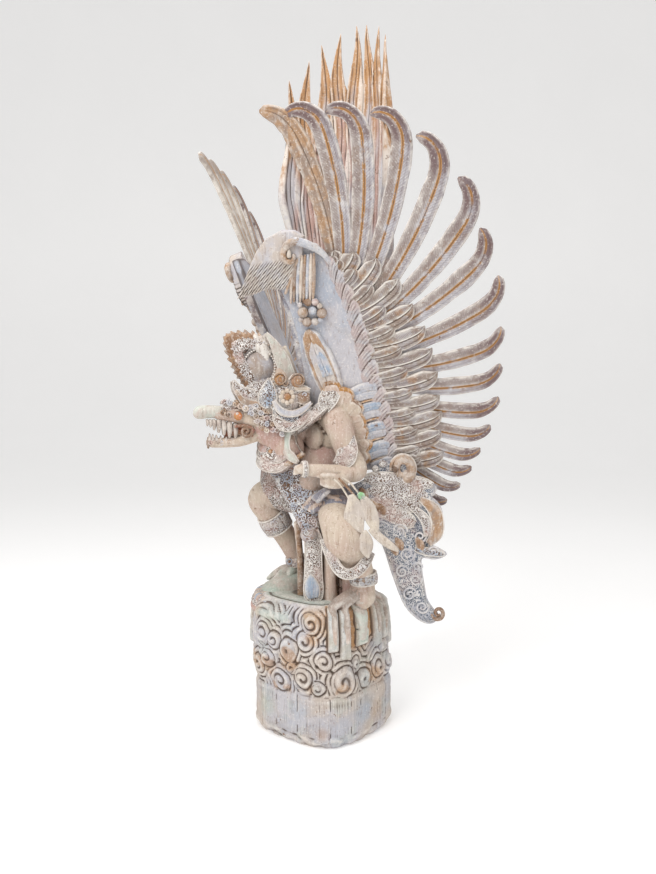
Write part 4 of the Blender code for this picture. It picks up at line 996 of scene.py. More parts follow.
def carve_cloth(sizes):
    """The waist folds, the chased trousers and loincloth, its knot, and the folds behind the legs."""
    carving = Carving()
    belt = [station(0.082 * math.cos(a), 0.005 + 0.072 * math.sin(a), 0.606, 0.014)
            for a in np.linspace(0, 2 * math.pi, 17)]
    carving.limb(belt, "chased", steps=3)
    # The near thigh's cloth takes the dark plum-blue coat, which is painted shade at the top of the thigh.
    for path in (((-0.044, -0.01, 0.596, 0.06), (-0.08, -0.064, 0.6, 0.054), (-0.098, -0.096, 0.598, 0.045)),
            ((0.04, 0.016, 0.586, 0.056), (0.084, 0.002, 0.574, 0.053), (0.118, -0.016, 0.572, 0.046))):
        carving.limb([station(*s) for s in path], "beaded" if path[0][0] < 0 else "painted_shade", steps=6, sides=24)
    for k in range(5):
        carving.limb([station(-0.03 + 0.01 * k, -0.14 + 0.012 * k, 0.69, 0.01),
                station(-0.006 + 0.01 * k, -0.12 + 0.014 * k, 0.64, 0.012),
                station(0.014 + 0.01 * k, -0.094 + 0.01 * k, 0.585, 0.012),
                station(0.05 + 0.005 * k, -0.076 + 0.006 * k, 0.52, 0.01)], "chased", steps=6)
    carving.ball(station(0.066, -0.07, 0.506), (0.024, 0.024, 0.022), "chased")
    for path, coat in ((((0.078, -0.024, 0.56, 0.013), (0.082, -0.02, 0.44, 0.014),
            (0.084, -0.018, 0.33, 0.018)), "tan"), (((0.06, -0.04, 0.54, 0.007), (0.062, -0.038, 0.44, 0.007),
            (0.064, -0.036, 0.33, 0.009)), "brown"), (((0.006, -0.07, 0.52, 0.008),
            (0.004, -0.064, 0.44, 0.008), (0.002, -0.06, 0.336, 0.01)), "brown"), (((-0.02, -0.06, 0.52, 0.01),
            (-0.022, -0.05, 0.44, 0.009), (-0.024, -0.046, 0.336, 0.01)), "tan")):
        carving.limb([station(*s) for s in path], coat, steps=6)
    for k in range(9):
        x = -0.088 + 0.022 * k
        carving.limb([station(0.8 * x, 0.03, 0.59, 0.02), station(x, 0.034, 0.47, 0.02),
                station(1.1 * x, 0.036, 0.325, 0.024)], ("brown", "dark", "rose")[k % 3], steps=6)
    # The waist folds alternate between the dark plum-blue coat and the darker taupe skin coat, both painted
    # shade in the folds.
    for k in range(4):
        drop = 0.011 * k
        carving.limb([station(0.058 + 0.01 * k, -0.084 + 0.004 * k, 0.576 - 0.3 * drop, 0.005),
                station(0.092 + 0.004 * k, -0.064 + 0.004 * k, 0.612 - drop, 0.006),
                station(0.146, -0.034, 0.606 - 1.2 * drop, 0.004)], "painted_shade" if k % 2 else "shaded_skin", steps=6)
    # Small folds in the dark plum-blue coat: painted shade.
    for k in range(3):
        carving.limb([station(0.092 + 0.012 * k, -0.074, 0.604 - 0.004 * k, 0.006),
                station(0.118 + 0.012 * k, -0.056, 0.626, 0.006)], "painted_shade", steps=5)
    carving.finish("loincloth_and_folds", fuse=0.0039, soften=1)


def hang_lappet():
    """The loincloth's chased end between the shins, its pale blue tip, and the serpent strip."""
    carving = Carving()
    middle = Vector(station(0.076, -0.064, 0.0))
    width = (LEVEL + 0.1 * TOWARD).normalized()

    def down(z, half, right=0.0, out=0.0):
        return (*(Vector((middle.x, middle.y, station(0, 0, z)[2])) + width * right + TOWARD * out), half)

    petal(carving, [down(0.52, 0.012), down(0.492, 0.022), down(0.45, 0.021), down(0.4, 0.023),
            down(0.366, 0.025), down(0.342, 0.022), down(0.334, 0.01)], "beaded", TOWARD, "bone", 0.005, 0.01)
    petal(carving, [down(0.404, 0.004, -0.008, 0.006), down(0.384, 0.017, -0.006, 0.006),
            down(0.362, 0.02, -0.003, 0.006), down(0.344, 0.014, 0.0, 0.005)], "blue", TOWARD, "bone", 0.003,
            0.006)
    petal(carving, [station(0.06, -0.112, 0.792, 0.004), station(0.052, -0.122, 0.776, 0.009),
            station(0.05, -0.128, 0.748, 0.008), station(0.054, -0.128, 0.722, 0.009),
            station(0.066, -0.12, 0.706, 0.01), station(0.078, -0.11, 0.694, 0.004)], "pale_mint",
            (0.8, -0.7, 0.2), "bone", 0.004, 0.016)
    carving.limb([station(0.062, -0.104, 0.776, 0.003), station(0.064, -0.106, 0.744, 0.0032),
            station(0.078, -0.096, 0.716, 0.0032)], "dark", steps=5, sides=8)
    for k in range(4):
        carving.limb([station(0.076 - 0.006 * k, -0.096 - 0.008 * k, 0.712 - 0.007 * k, 0.007),
                station(0.062 - 0.008 * k, -0.116 - 0.008 * k, 0.698 - 0.006 * k, 0.0045)], ("ochre",
                "gold")[k % 2], steps=4)
    carving.finish("lappet_and_serpent_strip")


def grow_sprig():
    """The sprig that hangs from his left hand: brown stems, four pointed cream leaves, a green bud."""
    carving = Carving()
    root = Vector(station(0.186, -0.049, 0.655))

    def at(right, up, half, out=0.0):
        return (*(root + LEVEL * right + Vector((0, 0, up)) + TOWARD * out), half)

    for path, coat in ((((-0.004, 0.004, 0.003), (0.018, -0.02, 0.003), (0.044, -0.052, 0.0035)), "brown"),
            (((0.004, 0.006, 0.0024), (0.024, -0.008, 0.0024), (0.046, -0.036, 0.002)), "leaf"),
            (((-0.016, 0.002, 0.0024), (0.0, -0.014, 0.0024), (0.02, -0.046, 0.002)), "leaf")):
        carving.limb([at(*spot) for spot in path], coat)
    for path, coat in ((((0.024, -0.034, 0.006), (0.032, -0.066, 0.022), (0.034, -0.092, 0.026),
            (0.046, -0.116, 0.012), (0.054, -0.128, 0.002)), "leaf"), (((0.054, -0.042, 0.008),
            (0.066, -0.066, 0.017), (0.078, -0.1, 0.016), (0.088, -0.13, 0.003)), "leaf"),
            (((0.056, -0.122, 0.006), (0.06, -0.146, 0.017), (0.062, -0.168, 0.016), (0.066, -0.19, 0.003)),
            "leaf"), (((0.07, -0.118, 0.006), (0.09, -0.136, 0.01), (0.116, -0.156, 0.01),
            (0.14, -0.172, 0.004)), "leaf"), (((0.042, -0.03, 0.004), (0.05, -0.038, 0.009),
            (0.058, -0.048, 0.003)), "green")):
        front = petal(carving, [at(*spot, 0.004) for spot in path], coat, TOWARD, None, 0.003, 0.004)
        carving.limb(np.column_stack([front[1:-1, 4], np.full(len(front) - 2, 0.0012)]), coat, steps=1, sides=7)
    carving.finish("leaf_sprig")


# Head and crown

def head_frame():
    """Where the head stands, and which way it faces."""
    turn = bpy.context.scene.garuda_figure.head_turn
    return Matrix.Translation(station(-0.02, -0.2, 0.81)) @ Matrix.Rotation(-turn, 4, "Z")


def on_head(forward, up, side, *more):
    """A place measured forward, up and aside from the middle of the head."""
    x, y, z = head_frame() @ Vector((side, -forward, up))
    return (x, y, z, *more)


def head_side(way):
    """The direction straight out of the head, to its left or its right."""
    return tuple(head_frame().to_3x3() @ Vector((way, -0.15, 0.1)))


def curl(carving, forward, up, side, radius, coat, turns=1.4, hand=1, stout=0.3, start=0.0):
    """A small raised spiral that lies on the side of the head or crown."""
    path = []
    count = int(turns * 12)
    for k in range(count + 1):
        share = k / count
        turn = start + hand * 2 * math.pi * turns * share
        reach = radius * (1 - 0.82 * share)
        path.append(on_head(forward + reach * math.cos(turn), up + reach * math.sin(turn), side
                + math.copysign(0.25 * radius * share, side), radius * stout * (1 - 0.4 * share)))
    carving.limb(path, coat, steps=1, sides=8)


def head_petal(carving, spots, side, way, coat, rim="bone", dome=0.004, thick=0.01):
    """A leaf on the head's side: each spot is forward, up, half width, and a step out from side."""
    rows = [on_head(f, u, way * (side + (step[0] if step else 0.0)), half) for f, u, half, *step in spots]
    return petal(carving, rows, coat, head_side(way), rim, dome, thick)


def carve_head(sizes):
    """Skull, straight blunt upper beak, open lower beak and the stained mouth between them."""
    carving = Carving()
    skull = Matrix.Rotation(-sizes.head_turn, 4, "Z")
    carving.ball(on_head(-0.016, -0.006, 0.0), (0.042, 0.052, 0.04), turn=skull)
    carving.limb([on_head(-0.04, -0.024, 0.0, 0.044), on_head(-0.07, -0.05, 0.0, 0.042),
            on_head(-0.098, -0.084, 0.0, 0.046)], "rose", steps=6, sides=24)
    for way in (-1, 1):
        side = 0.008 * way
        carving.limb([on_head(-0.01, 0.004, 1.4 * side, 0.03), on_head(0.024, 0.004, 1.3 * side, 0.024),
                on_head(0.056, 0.004, side, 0.018), on_head(0.072, 0.004, side, 0.016)], "tan", steps=6)
        carving.limb([on_head(0.062, 0.008, side, 0.0165), on_head(0.094, 0.011, 0.9 * side, 0.0165),
                on_head(0.12, 0.009, 0.8 * side, 0.0175), on_head(0.1235, 0.008, 0.8 * side, 0.0165)],
                "pale_mint", steps=6)
        carving.limb([on_head(-0.02, -0.046, 1.4 * side, 0.02), on_head(0.02, -0.064, side, 0.014),
                on_head(0.06, -0.068, 0.9 * side, 0.0125), on_head(0.092, -0.068, 0.8 * side, 0.0125)], "tan",
                steps=6)
        carving.limb([on_head(0.056, -0.044, 0.4 * side, 0.01), on_head(0.012, -0.032, 0.5 * side, 0.02)],
                "mouth", steps=6)
    carving.finish("head", fuse=0.0027, soften=1)
    carve_face(sizes)


def carve_face(sizes):
    """The crisp carving on the head: eyes, curled brows, teeth, mouth swirls, jaw end and cheeks."""
    carving = Carving()
    for way in (-1, 1):
        side = 0.008 * way
        carving.ball(on_head(0.028, 0.0, 4.4 * side), (0.011, 0.011, 0.011), "flame_eye", around=20, up=14)
        # A small bone-white ball on each eye: a painted highlight, the eye's glint.
        carving.ball(on_head(0.031, 0.006, 5.3 * side), (0.004, 0.004, 0.004), "bone", around=14, up=10)
        curl(carving, 0.028, 0.0, 4.3 * side, 0.0155, "gold", 0.9, way, 0.2, 1.2)
        curl(carving, 0.052, 0.004, 3.6 * side, 0.009, "gold", 1.3, -way, 0.34, 0.4)
        curl(carving, 0.066, 0.01, 3.1 * side, 0.0085, "brown", 1.2, way, 0.34, 2.0)
        head_petal(carving, [(0.07, 0.021, 0.003), (0.044, 0.02, 0.006), (0.016, 0.016, 0.008),
                (-0.014, 0.02, 0.006)], 0.024, way, "beaded")
        for row, (first, level, drop, reach, count) in enumerate(((0.06, 0.032, 0.002, 0.0085, 11),
                (0.01, 0.016, 0.001, 0.008, 8), (-0.004, 0.002, 0.0022, 0.0075, 7),
                (-0.018, -0.012, 0.003, 0.007, 6), (-0.03, -0.028, 0.0042, 0.007, 5))):
            for k in range(count):
                forward = first - 0.0125 * k
                out = 0.022 + 0.024 * min(1.0, max(0.0, (0.062 - forward) / 0.05)) + 0.0012 * row
                curl(carving, forward, level + 0.004 * math.sin(k * 1.3 + row) - drop * k, way * out, reach,
                        ("beaded", "tan", "lavender", "salmon", "gold")[(k * 2 + row) % 5], 1.3,
                        (-1) ** (k + row), 0.36, k)
        for k, (forward, top, low, size) in enumerate(((0.104, -0.012, -0.024, 0.0038),
                (0.096, -0.012, -0.027, 0.0042), (0.087, -0.013, -0.034, 0.005), (0.076, -0.014, -0.04, 0.0058),
                (0.063, -0.016, -0.046, 0.0066), (0.049, -0.02, -0.052, 0.0072),
                (0.034, -0.024, -0.054, 0.0066))):
            carving.limb([on_head(forward, top, 1.9 * side, size), on_head(forward - 0.001, 0.5 * (top + low),
                    2.1 * side, 0.95 * size), on_head(forward, low, 1.9 * side, 0.55 * size)], "tooth", steps=4,
                    sides=10)
            if k < 6:
                carving.limb([on_head(forward - 0.006, -0.06, 1.8 * side, 0.0045),
                        on_head(forward - 0.006, -0.046 - 0.002 * k, 1.9 * side, 0.0018)], "tooth", steps=4,
                        sides=10)
        curl(carving, 0.008, -0.038, side * 4.2, 0.0155, "mouth", 1.3, way, 0.36, 2.6)
        carving.limb([on_head(0.034, -0.026, 3.2 * side, 0.004), on_head(0.014, -0.024, 4.2 * side, 0.005),
                on_head(-0.008, -0.032, 4.9 * side, 0.004), on_head(-0.006, -0.05, 4.4 * side, 0.003)], "mouth",
                steps=6)
        for k in range(9):
            x = 0.022 + 0.0095 * k
            curl(carving, x, -0.067, side * 2.15, 0.0062, ("gold", "tan", "salmon")[k % 3], 1.1, (-1) ** k, 0.3,
                    k)
        carving.ball(on_head(0.103, -0.068, 0.7 * side), (0.006, 0.004, 0.009), "gold", around=16, up=10)
    ring = [on_head(0.102, -0.068 + 0.0125 * math.cos(a), 0.015 * math.sin(a), 0.0028)
            for a in np.linspace(0, 2 * math.pi, 17)]
    carving.limb(ring, "brown", steps=2, sides=8)
    carving.finish("face_carving", rounds=4)


def crest_line():
    """The top edge of the crest from brow to nape, seen from the side: forward and up."""
    return smooth_path([(0.004, 0.076), (0.02, 0.098), (0.034, 0.122), (0.05, 0.158), (0.056, 0.192),
            (0.04, 0.205), (0.008, 0.21), (-0.026, 0.203), (-0.046, 0.187), (-0.06, 0.16)], 6)


def carve_crown():
    """A crest of flame teeth and beaded rows about a smooth bowl in each side, on a rounded cap."""
    carving = Carving()
    skull = Matrix.Rotation(-bpy.context.scene.garuda_figure.head_turn, 4, "Z")
    heart = np.array((-0.026, 0.126))
    line = crest_line()
    body = [tuple(heart + 0.93 * (spot - heart)) for spot in line[::3]] + [(-0.072, 0.12), (-0.06, 0.07),
            (-0.02, 0.06)]
    stand = head_frame() @ Matrix(((0, 0, 1, 0), (-1, 0, 0, 0), (0, 1, 0, 0), (0, 0, 0, 1)))
    carving.plate(body, 0.03, stand, "beaded")
    for row, (share, side, coat) in enumerate(((1.0, 0.006, "gold"), (0.9, 0.014, "brown"),
            (0.78, 0.02, "beaded"), (0.66, 0.024, "beaded"))):
        for before, after in zip(line[row % 2:-1:3], line[row % 2 + 1::3]):
            middle = 0.5 * (before + after)
            away = unit(middle - heart)
            foot = heart + share * (middle - heart) - 0.008 * away
            tip = heart + share * (middle - heart) + (0.009 if row < 2 else 0.004) * away
            for way in (-1, 1):
                carving.limb([on_head(*foot, way * side, 0.0078), on_head(*(0.5 * (foot + tip)), way * side,
                        0.0066), on_head(*tip, way * side * 0.9, 0.0022)], "bone" if away[0] < -0.1
                        + 0.2 * (row % 2) else coat, steps=4, sides=10)
    carving.ball(on_head(-0.036, 0.058, 0.0), (0.046, 0.052, 0.04), "beaded", turn=skull)
    carving.limb([on_head(-0.074, 0.04, 0.0, 0.044), on_head(-0.084, 0.11, 0.0, 0.03),
            on_head(-0.072, 0.16, 0.0, 0.014)], "tan", steps=6, sides=20)
    for way in (-1, 1):
        carving.ball(on_head(-0.026, 0.124, 0.01 * way), (0.027, 0.037, 0.04), "dove", turn=skull, around=40,
                up=24)
    carving.finish("crown_body", fuse=0.0028, soften=1, rounds=3)
    dress_crown()


def dress_crown():
    """Bowl rims, brow leaf, teardrop, curls, square, rosette, the layered wing leaf and the ribbon."""
    carving = Carving()
    for way in (-1, 1):
        for k in range(26):
            turn = 0.3 + 3.9 * k / 25
            carving.ball(on_head(-0.026 + 0.04 * math.cos(turn), 0.124 + 0.043 * math.sin(turn), 0.0235 * way),
                    (0.0027, 0.0027, 0.0027), "bone", around=8, up=6)
        for k in range(34):
            turn = 0.1 + 4.2 * k / 33
            carving.ball(on_head(-0.022 + 0.053 * math.cos(turn), 0.132 + 0.056 * math.sin(turn), 0.0215 * way),
                    (0.0024, 0.0028, 0.0028), ("bone", "gold", "lavender")[k % 3], around=8, up=6)
        head_petal(carving, [(0.04, 0.088, 0.003), (0.026, 0.064, 0.013), (0.002, 0.052, 0.017),
                (-0.026, 0.056, 0.01)], 0.04, way, "beaded")
        head_petal(carving, [(0.034, 0.064, 0.003), (0.018, 0.04, 0.007), (-0.006, 0.032, 0.008),
                (-0.026, 0.032, 0.004)], 0.045, way, "gold")
        head_petal(carving, [(-0.047, 0.094, 0.002), (-0.046, 0.072, 0.015), (-0.044, 0.05, 0.023),
                (-0.044, 0.032, 0.02), (-0.046, 0.02, 0.006)], 0.054, way, "beaded_blue")
        for forward, up, size in ((-0.076, 0.092, 0.017), (-0.12, 0.088, 0.02)):
            carving.ball(on_head(forward, up, 0.05 * way), (0.78 * size, 0.9 * size, 0.9 * size), "amber",
                    around=24, up=16)
            curl(carving, forward, up, 0.06 * way, 0.95 * size, "brown", 1.5, way, 0.15, 0.5)
            curl(carving, forward, up, 0.054 * way, 1.12 * size, "bone", 0.6, way, 0.12, 0.2)
        carving.ball(on_head(-0.104, 0.046, 0.03 * way), (0.03, 0.046, 0.044), "beaded", around=32, up=20)
        rosette(carving, on_head(-0.092, 0.048, 0.062 * way), head_side(way), 0.022, 8, "tan", "amber")
        head_petal(carving, [(-0.12, 0.046, 0.012), (-0.134, 0.046, 0.017), (-0.15, 0.046, 0.012)], 0.054, way,
                "brown")
        head_petal(carving, [(-0.112, 0.066, 0.004), (-0.13, 0.07, 0.007), (-0.15, 0.066, 0.003)], 0.056, way,
                "tan")
        for k, (drop, half, coat) in enumerate(((0.0, 0.014, "beaded_blue"), (0.017, 0.012, "beaded"),
                (-0.016, 0.008, "lavender"))):
            head_petal(carving, [(-0.058, 0.022 - drop, 0.004), (-0.074, -0.002 - drop, half),
                    (-0.1, -0.01 - drop, half), (-0.126, 0.0 - 0.8 * drop, 0.9 * half),
                    (-0.152, 0.024 - 0.6 * drop, 0.003)], 0.056 + 0.004 * k, way, coat)
        for k in range(7):
            turn = -0.4 + 0.85 * k
            curl(carving, -0.098 + 0.04 * math.cos(turn), 0.048 + 0.036 * math.sin(turn), 0.054 * way, 0.0085,
                    ("bone", "lavender", "gold")[k % 3], 1.2, (-1) ** k, 0.34, k)
        head_petal(carving, [(-0.044, 0.208, 0.003), (-0.062, 0.184, 0.009), (-0.082, 0.146, 0.017),
                (-0.096, 0.112, 0.017), (-0.108, 0.096, 0.013)], 0.026, way, "pale_mint", thick=0.012)
        head_petal(carving, [(-0.092, 0.178, 0.004), (-0.104, 0.14, 0.009), (-0.118, 0.104, 0.008)], 0.014, way,
                "leaf", None, thick=0.012)
    carving.finish("crown_ornaments", rounds=4)


# Wings

def wing_frame(sizes, side):
    """Wing plane: x back along the wing, y up it; z times side is its outer face."""
    sweep = sizes.left_sweep if side > 0 else sizes.right_sweep
    root = side * (sizes.left_root if side > 0 else sizes.right_root)
    back = Vector((side * math.sin(sweep), math.cos(sweep), 0.0))
    up = Vector((side * math.sin(sizes.lean) * math.cos(sweep), -math.sin(sizes.lean) * math.sin(sweep),
            math.cos(sizes.lean)))
    grid = Matrix((back, up, back.cross(up))).transposed().to_4x4()
    return Matrix.Translation(station(root, 0.044, 0.75)) @ grid


def on_wing(sizes, side, points):
    """Takes points of back, up and outward into place, with the wing's hollow to the front."""
    points = np.array(points, dtype=float)
    x = points[..., 0] - 0.05
    bend = sizes.cup * (np.maximum(-x, 0) ** 2 - 0.25 * np.maximum(x, 0) ** 2)
    points[..., 2] = side * (points[..., 2] + bend)
    return placed(wing_frame(sizes, side), points.reshape(-1, 3)).reshape(points.shape)


# Tips of the flight feathers and of the coverts, back and up in the wing plane, from the front round
FEATHER_TIPS = np.array(((-0.158, 0.796), (-0.1, 0.782), (-0.008, 0.782), (0.091, 0.771), (0.19, 0.72),
        (0.28, 0.628), (0.328, 0.517), (0.369, 0.409), (0.377, 0.289), (0.376, 0.198), (0.373, 0.114),
        (0.354, 0.04), (0.33, -0.022), (0.308, -0.073), (0.28, -0.122), (0.246, -0.169)))
COVERT_TIPS = np.array(((-0.012, 0.482), (0.037, 0.478), (0.09, 0.462), (0.14, 0.414), (0.172, 0.352),
        (0.2, 0.298), (0.216, 0.243), (0.228, 0.184), (0.232, 0.122), (0.236, 0.08), (0.233, 0.029),
        (0.238, -0.03)))
# The ridge of waves between the smooth shoulder and the coverts: back, up and half width
RIDGE = np.array(((-0.026, 0.47, 0.009), (-0.006, 0.424, 0.018), (0.018, 0.364, 0.02), (0.036, 0.302, 0.022),
        (0.047, 0.25, 0.024), (0.06, 0.18, 0.027), (0.076, 0.113, 0.027), (0.091, 0.045, 0.025),
        (0.1, -0.024, 0.02), (0.106, -0.08, 0.012)))


def among(table, share):
    """A row of a table at a share of its length."""
    place = share * (len(table) - 1)
    return np.array([np.interp(place, np.arange(len(table)), column) for column in table.T])


def hooked(root, tip, count, bow, hook, start):
    """A line from root to tip that bows forward, and curls over from start to the end."""
    share = np.linspace(0, 1, count)
    heading = bow * share + hook * np.clip((share - start) / (1 - start), 0, 1) ** 1.5
    path = np.concatenate([[0], np.cumsum(np.exp(0.5j * (heading[1:] + heading[:-1])))])
    placed_path = complex(*root) + complex(tip[0] - root[0], tip[1] - root[1]) * path / path[-1]
    return np.column_stack([placed_path.real, placed_path.imag]), share


def blade(carving, sizes, side, spine, half, lift, thick, coat, rim=0.0016, quill=0.0014, roof=0.002,
        nicks=0.0):
    """A feather along its spine: raised rims, a cut quill line, and webs that fall to each side."""
    columns = (-1, -0.93, -0.84, -0.62, -0.27, -0.1, 0.07, 0.45, 0.84, 0.93, 1)
    count, cols = len(spine), len(columns)
    run = unit(np.gradient(spine, axis=0))
    across = np.array(columns)[None, :] * np.ones((count, 1))
    uneven = ripple(np.column_stack([spine * 26, np.full(count, lift * 900)]), 1.0, 0.09)[:, None]
    nick = 1 + nicks * np.abs(np.sin(np.arange(count) * 0.9))[:, None] * (across > 0.9)
    width = np.asarray(half)[:, None] * (1 + uneven) * nick
    x = spine[:, :1] - run[:, 1:] * width * across
    y = spine[:, 1:] + run[:, :1] * width * across
    thinning = np.minimum(1.0, width / 0.012)
    high = thinning * (thick / 2 + rim * np.exp(-((np.abs(across) - 0.86) / 0.1) ** 2)
            - quill * np.exp(-((across + 0.1) / 0.09) ** 2) + roof * (1 - np.abs(across))
            + 0.5 * rim * (across > 0))
    low = thinning * thick / 2
    high = np.where(np.abs(across) > 0.99, 0.35 * high, high)
    low = np.where(np.abs(across) > 0.99, 0.35 * low, low)
    front = np.stack([x, y, lift + high], -1)
    back = np.stack([x, y, lift - low], -1)
    share = np.linspace(0, 1, count)[:, None] * np.ones((1, cols))
    carving.sheet(on_wing(sizes, side, front), on_wing(sizes, side, back), coat, across, share)


def carve_flight_feathers(sizes, side, name, node):
    """The long feathers, from the ochre one at the front to the lowest."""
    carving = Carving()
    count = sizes.primaries
    profile = ((0.0, 0.34), (0.25, 0.46), (0.5, 0.52), (0.7, 0.53), (0.82, 0.48), (0.92, 0.36), (0.97, 0.28),
            (0.992, 0.18), (1.0, 0.06))
    for i in range(count):
        share = i / (count - 1)
        tip = among(FEATHER_TIPS, share)
        root = among(RIDGE, 0.1 + 0.82 * share)[:2]
        hook = 1.05 if i == 0 else 1.95 - 0.85 * min(max((share - 0.2) / 0.3, 0), 1)
        spine, along = hooked(root, tip, 44, 0.52, hook, 0.74)
        half = np.interp(along, *zip(*profile)) * sizes.feather_width * (1.04 - 0.3 * window(share, 0.25, 1.0))
        coat = ("gold" if i == 0 else "feather") if side > 0 else ("pale_feather" if i < 3 else "feather")
        lift = 0.0005 * (i - count / 2)
        blade(carving, sizes, side, spine, half, lift, sizes.feather_thickness, coat, nicks=0.1 if i == 0 else
                0.0)
    carving.finish(name + "_flight_feathers", node, "wing_paint", rounds=4)


def carve_coverts(sizes, side, name, node):
    """Two rows of coverts; each ends in a small pointed arch."""
    carving = Carving()
    count = sizes.coverts
    profile = ((0.0, 0.0165), (0.3, 0.0215), (0.6, 0.0245), (0.8, 0.0235), (0.9, 0.0165), (0.95, 0.0085),
            (1.0, 0.0012))
    for row in (0, 1):
        for i in range(count + row):
            share = min(max((i - 0.5 * row) / (count - 1), 0.0), 1.0)
            tip = among(COVERT_TIPS, share)
            root = among(RIDGE, 0.03 + 0.92 * share)[:2]
            tip = root + (1.0 - 0.42 * row) * (tip - root)
            spine, along = hooked(root, tip, 28, 0.62, 0.5, 0.8)
            half = np.interp(along, *zip(*profile)) * (1.0 - 0.28 * row)
            blade(carving, sizes, side, spine, half, 0.0076 + 0.0036 * row + 0.00012 * i, 0.008, "covert",
                    rim=0.0026, quill=0.0022, roof=0.0034)
    carving.finish(name + "_coverts", node, "wing_paint", rounds=4)


def carve_ridge(sizes, side, carving, lift):
    """Overlapping wave crests down the ridge, each with comb lines that sweep down and forward."""
    path = smooth_path(RIDGE, 30)
    rows, cols = len(path), 19
    run = unit(np.gradient(path[:, :2], axis=0))
    length_ = np.concatenate([[0], np.cumsum(np.linalg.norm(np.diff(path[:, :2], axis=0), axis=1))])
    across = np.linspace(-1, 1, cols)[None, :]
    phase = (length_ / length_[-1] * sizes.scallops)[:, None] - 1.15 * ((1 - across) / 2) ** 1.4
    part = phase - np.floor(phase)
    bulge = 0.005 * np.sin(math.pi * part) * window(across, 0.2, 1.0)
    width = path[:, 2:3] * across + bulge
    x = path[:, :1] - run[:, 1:] * width
    y = path[:, 1:2] + run[:, :1] * width
    body = np.sqrt((1 - across ** 2).clip(0)) * (0.35 + 0.65 * window(across, -1.0, 0.2))
    comb = 0.5 - 0.5 * np.cos(2 * math.pi * 4 * part)
    high = body * (0.0085 + 0.007 * (1 - part) ** 0.7 - 0.0028 * comb * (1 - window(across, 0.55, 0.95)))
    front = np.stack([x, y, lift + high], -1)
    back = np.stack([x, y, np.full(x.shape, lift - 0.004)], -1)
    carving.sheet(on_wing(sizes, side, front), on_wing(sizes, side, back), "ridge", across * np.ones(x.shape),
            part)


def carve_shoulder(sizes, side, name, node):
    """The smooth shoulder, its front edge painted dark as shade, the ridge of waves and the short feathers at
    its foot.
    """
    outline = [(-0.15, 0.47), (-0.15, 0.505), (-0.1, 0.514), (-0.05, 0.5), (-0.012, 0.45), (0.024, 0.364),
            (0.046, 0.29), (0.066, 0.18), (0.09, 0.06), (0.108, -0.082), (0.09, -0.096), (0.04, -0.082),
            (0.02, 0.02), (-0.04, 0.06), (-0.094, 0.09), (-0.112, 0.17), (-0.122, 0.28), (-0.146, 0.38)]
    plate = Carving()
    plate.plate(outline, sizes.plate_thickness, Matrix.Identity(4), "lavender")

    def shaped(points):
        return on_wing(sizes, side, points + (0, 0, 0.0021))

    plate.finish(name + "_shoulder", node, "wing_paint", fuse=0.005, soften=5, shape=shaped)
    carving = Carving()
    lift = 0.0021 + sizes.plate_thickness / 2
    carve_ridge(sizes, side, carving, lift - 0.003)

    def wing_limb(stations, coat, **options):
        raised_limb(carving, lambda spots: on_wing(sizes, side, spots), stations, coat, **options)

    # The dark strip along the shoulder's front edge is painted shade, in the dark plum-blue coat.
    for x, z, coat in ((-0.006, 0.004, "painted_shade"), (0.007, 0.0, "painted_shade")):
        wing_limb([(-0.14 + x, 0.404, z, 0.01), (-0.122 + x, 0.34, z, 0.011), (-0.11 + x, 0.27, z, 0.011),
                (-0.104 + x, 0.19, z, 0.011), (-0.094 + x, 0.11, z, 0.01), (-0.08 + x, 0.06, z, 0.008)], coat)
    for k, y in enumerate((0.136, 0.086, 0.032, -0.02, -0.064)):
        start, end = (0.012 + 0.012 * k, y - 0.014), (0.08 + 0.008 * k, y + 0.006)
        spine = smooth_path([start, (0.5 * (start[0] + end[0]), 0.5 * (start[1] + end[1]) + 0.004), end], 10)
        for share, coat, half in ((0.0, "lavender", 0.022), (0.3, "blue", 0.01), (-0.35, "lavender", 0.009)):
            along = np.linspace(0, 1, len(spine))
            width = np.interp(along, (0, 0.3, 0.8, 0.95, 1.0), (0.9, 1.0, 1.0, 0.8, 0.5)) * half
            blade(carving, sizes, side, spine + (0.0, share * 0.03), width, lift + 0.003
                    + 0.003 * (half < 0.02), 0.006, coat, rim=0.001, quill=0.0012, roof=0.003)
        wing_limb([(start[0] + 0.004, start[1] - 0.024, lift + 0.004, 0.0026), (0.5 * (start[0] + end[0]),
                0.5 * (start[1] + end[1]) - 0.022, lift + 0.006, 0.0028), (end[0], end[1] - 0.024, lift + 0.004,
                0.0016)], "ochre", sides=8)
    hub = np.array((-0.03, 0.04))
    for k, rim in enumerate(((-0.034, 0.168), (0.004, 0.148), (0.034, 0.11), (0.046, 0.066), (0.052, 0.022),
            (0.054, -0.022), (0.044, -0.062))):
        rim = np.array(rim)
        spine = smooth_path([hub + 0.25 * (rim - hub), hub + 0.6 * (rim - hub), rim], 9)
        along = np.linspace(0, 1, len(spine))
        half = np.interp(along, (0, 0.5, 0.8, 0.94, 1.0), (0.012, 0.02, 0.024, 0.018, 0.005))
        blade(carving, sizes, side, spine, half, lift + 0.01 - 0.0008 * k, 0.01, "ochre", rim=0.002)
        blade(carving, sizes, side, hub + 0.93 * (spine - hub), 0.86 * half, lift + 0.0125 - 0.0008 * k, 0.01,
                "tan", rim=0.001, quill=0.001, roof=0.003)
    carving.finish(name + "_scallop_ridge", node, "wing_paint", rounds=4)


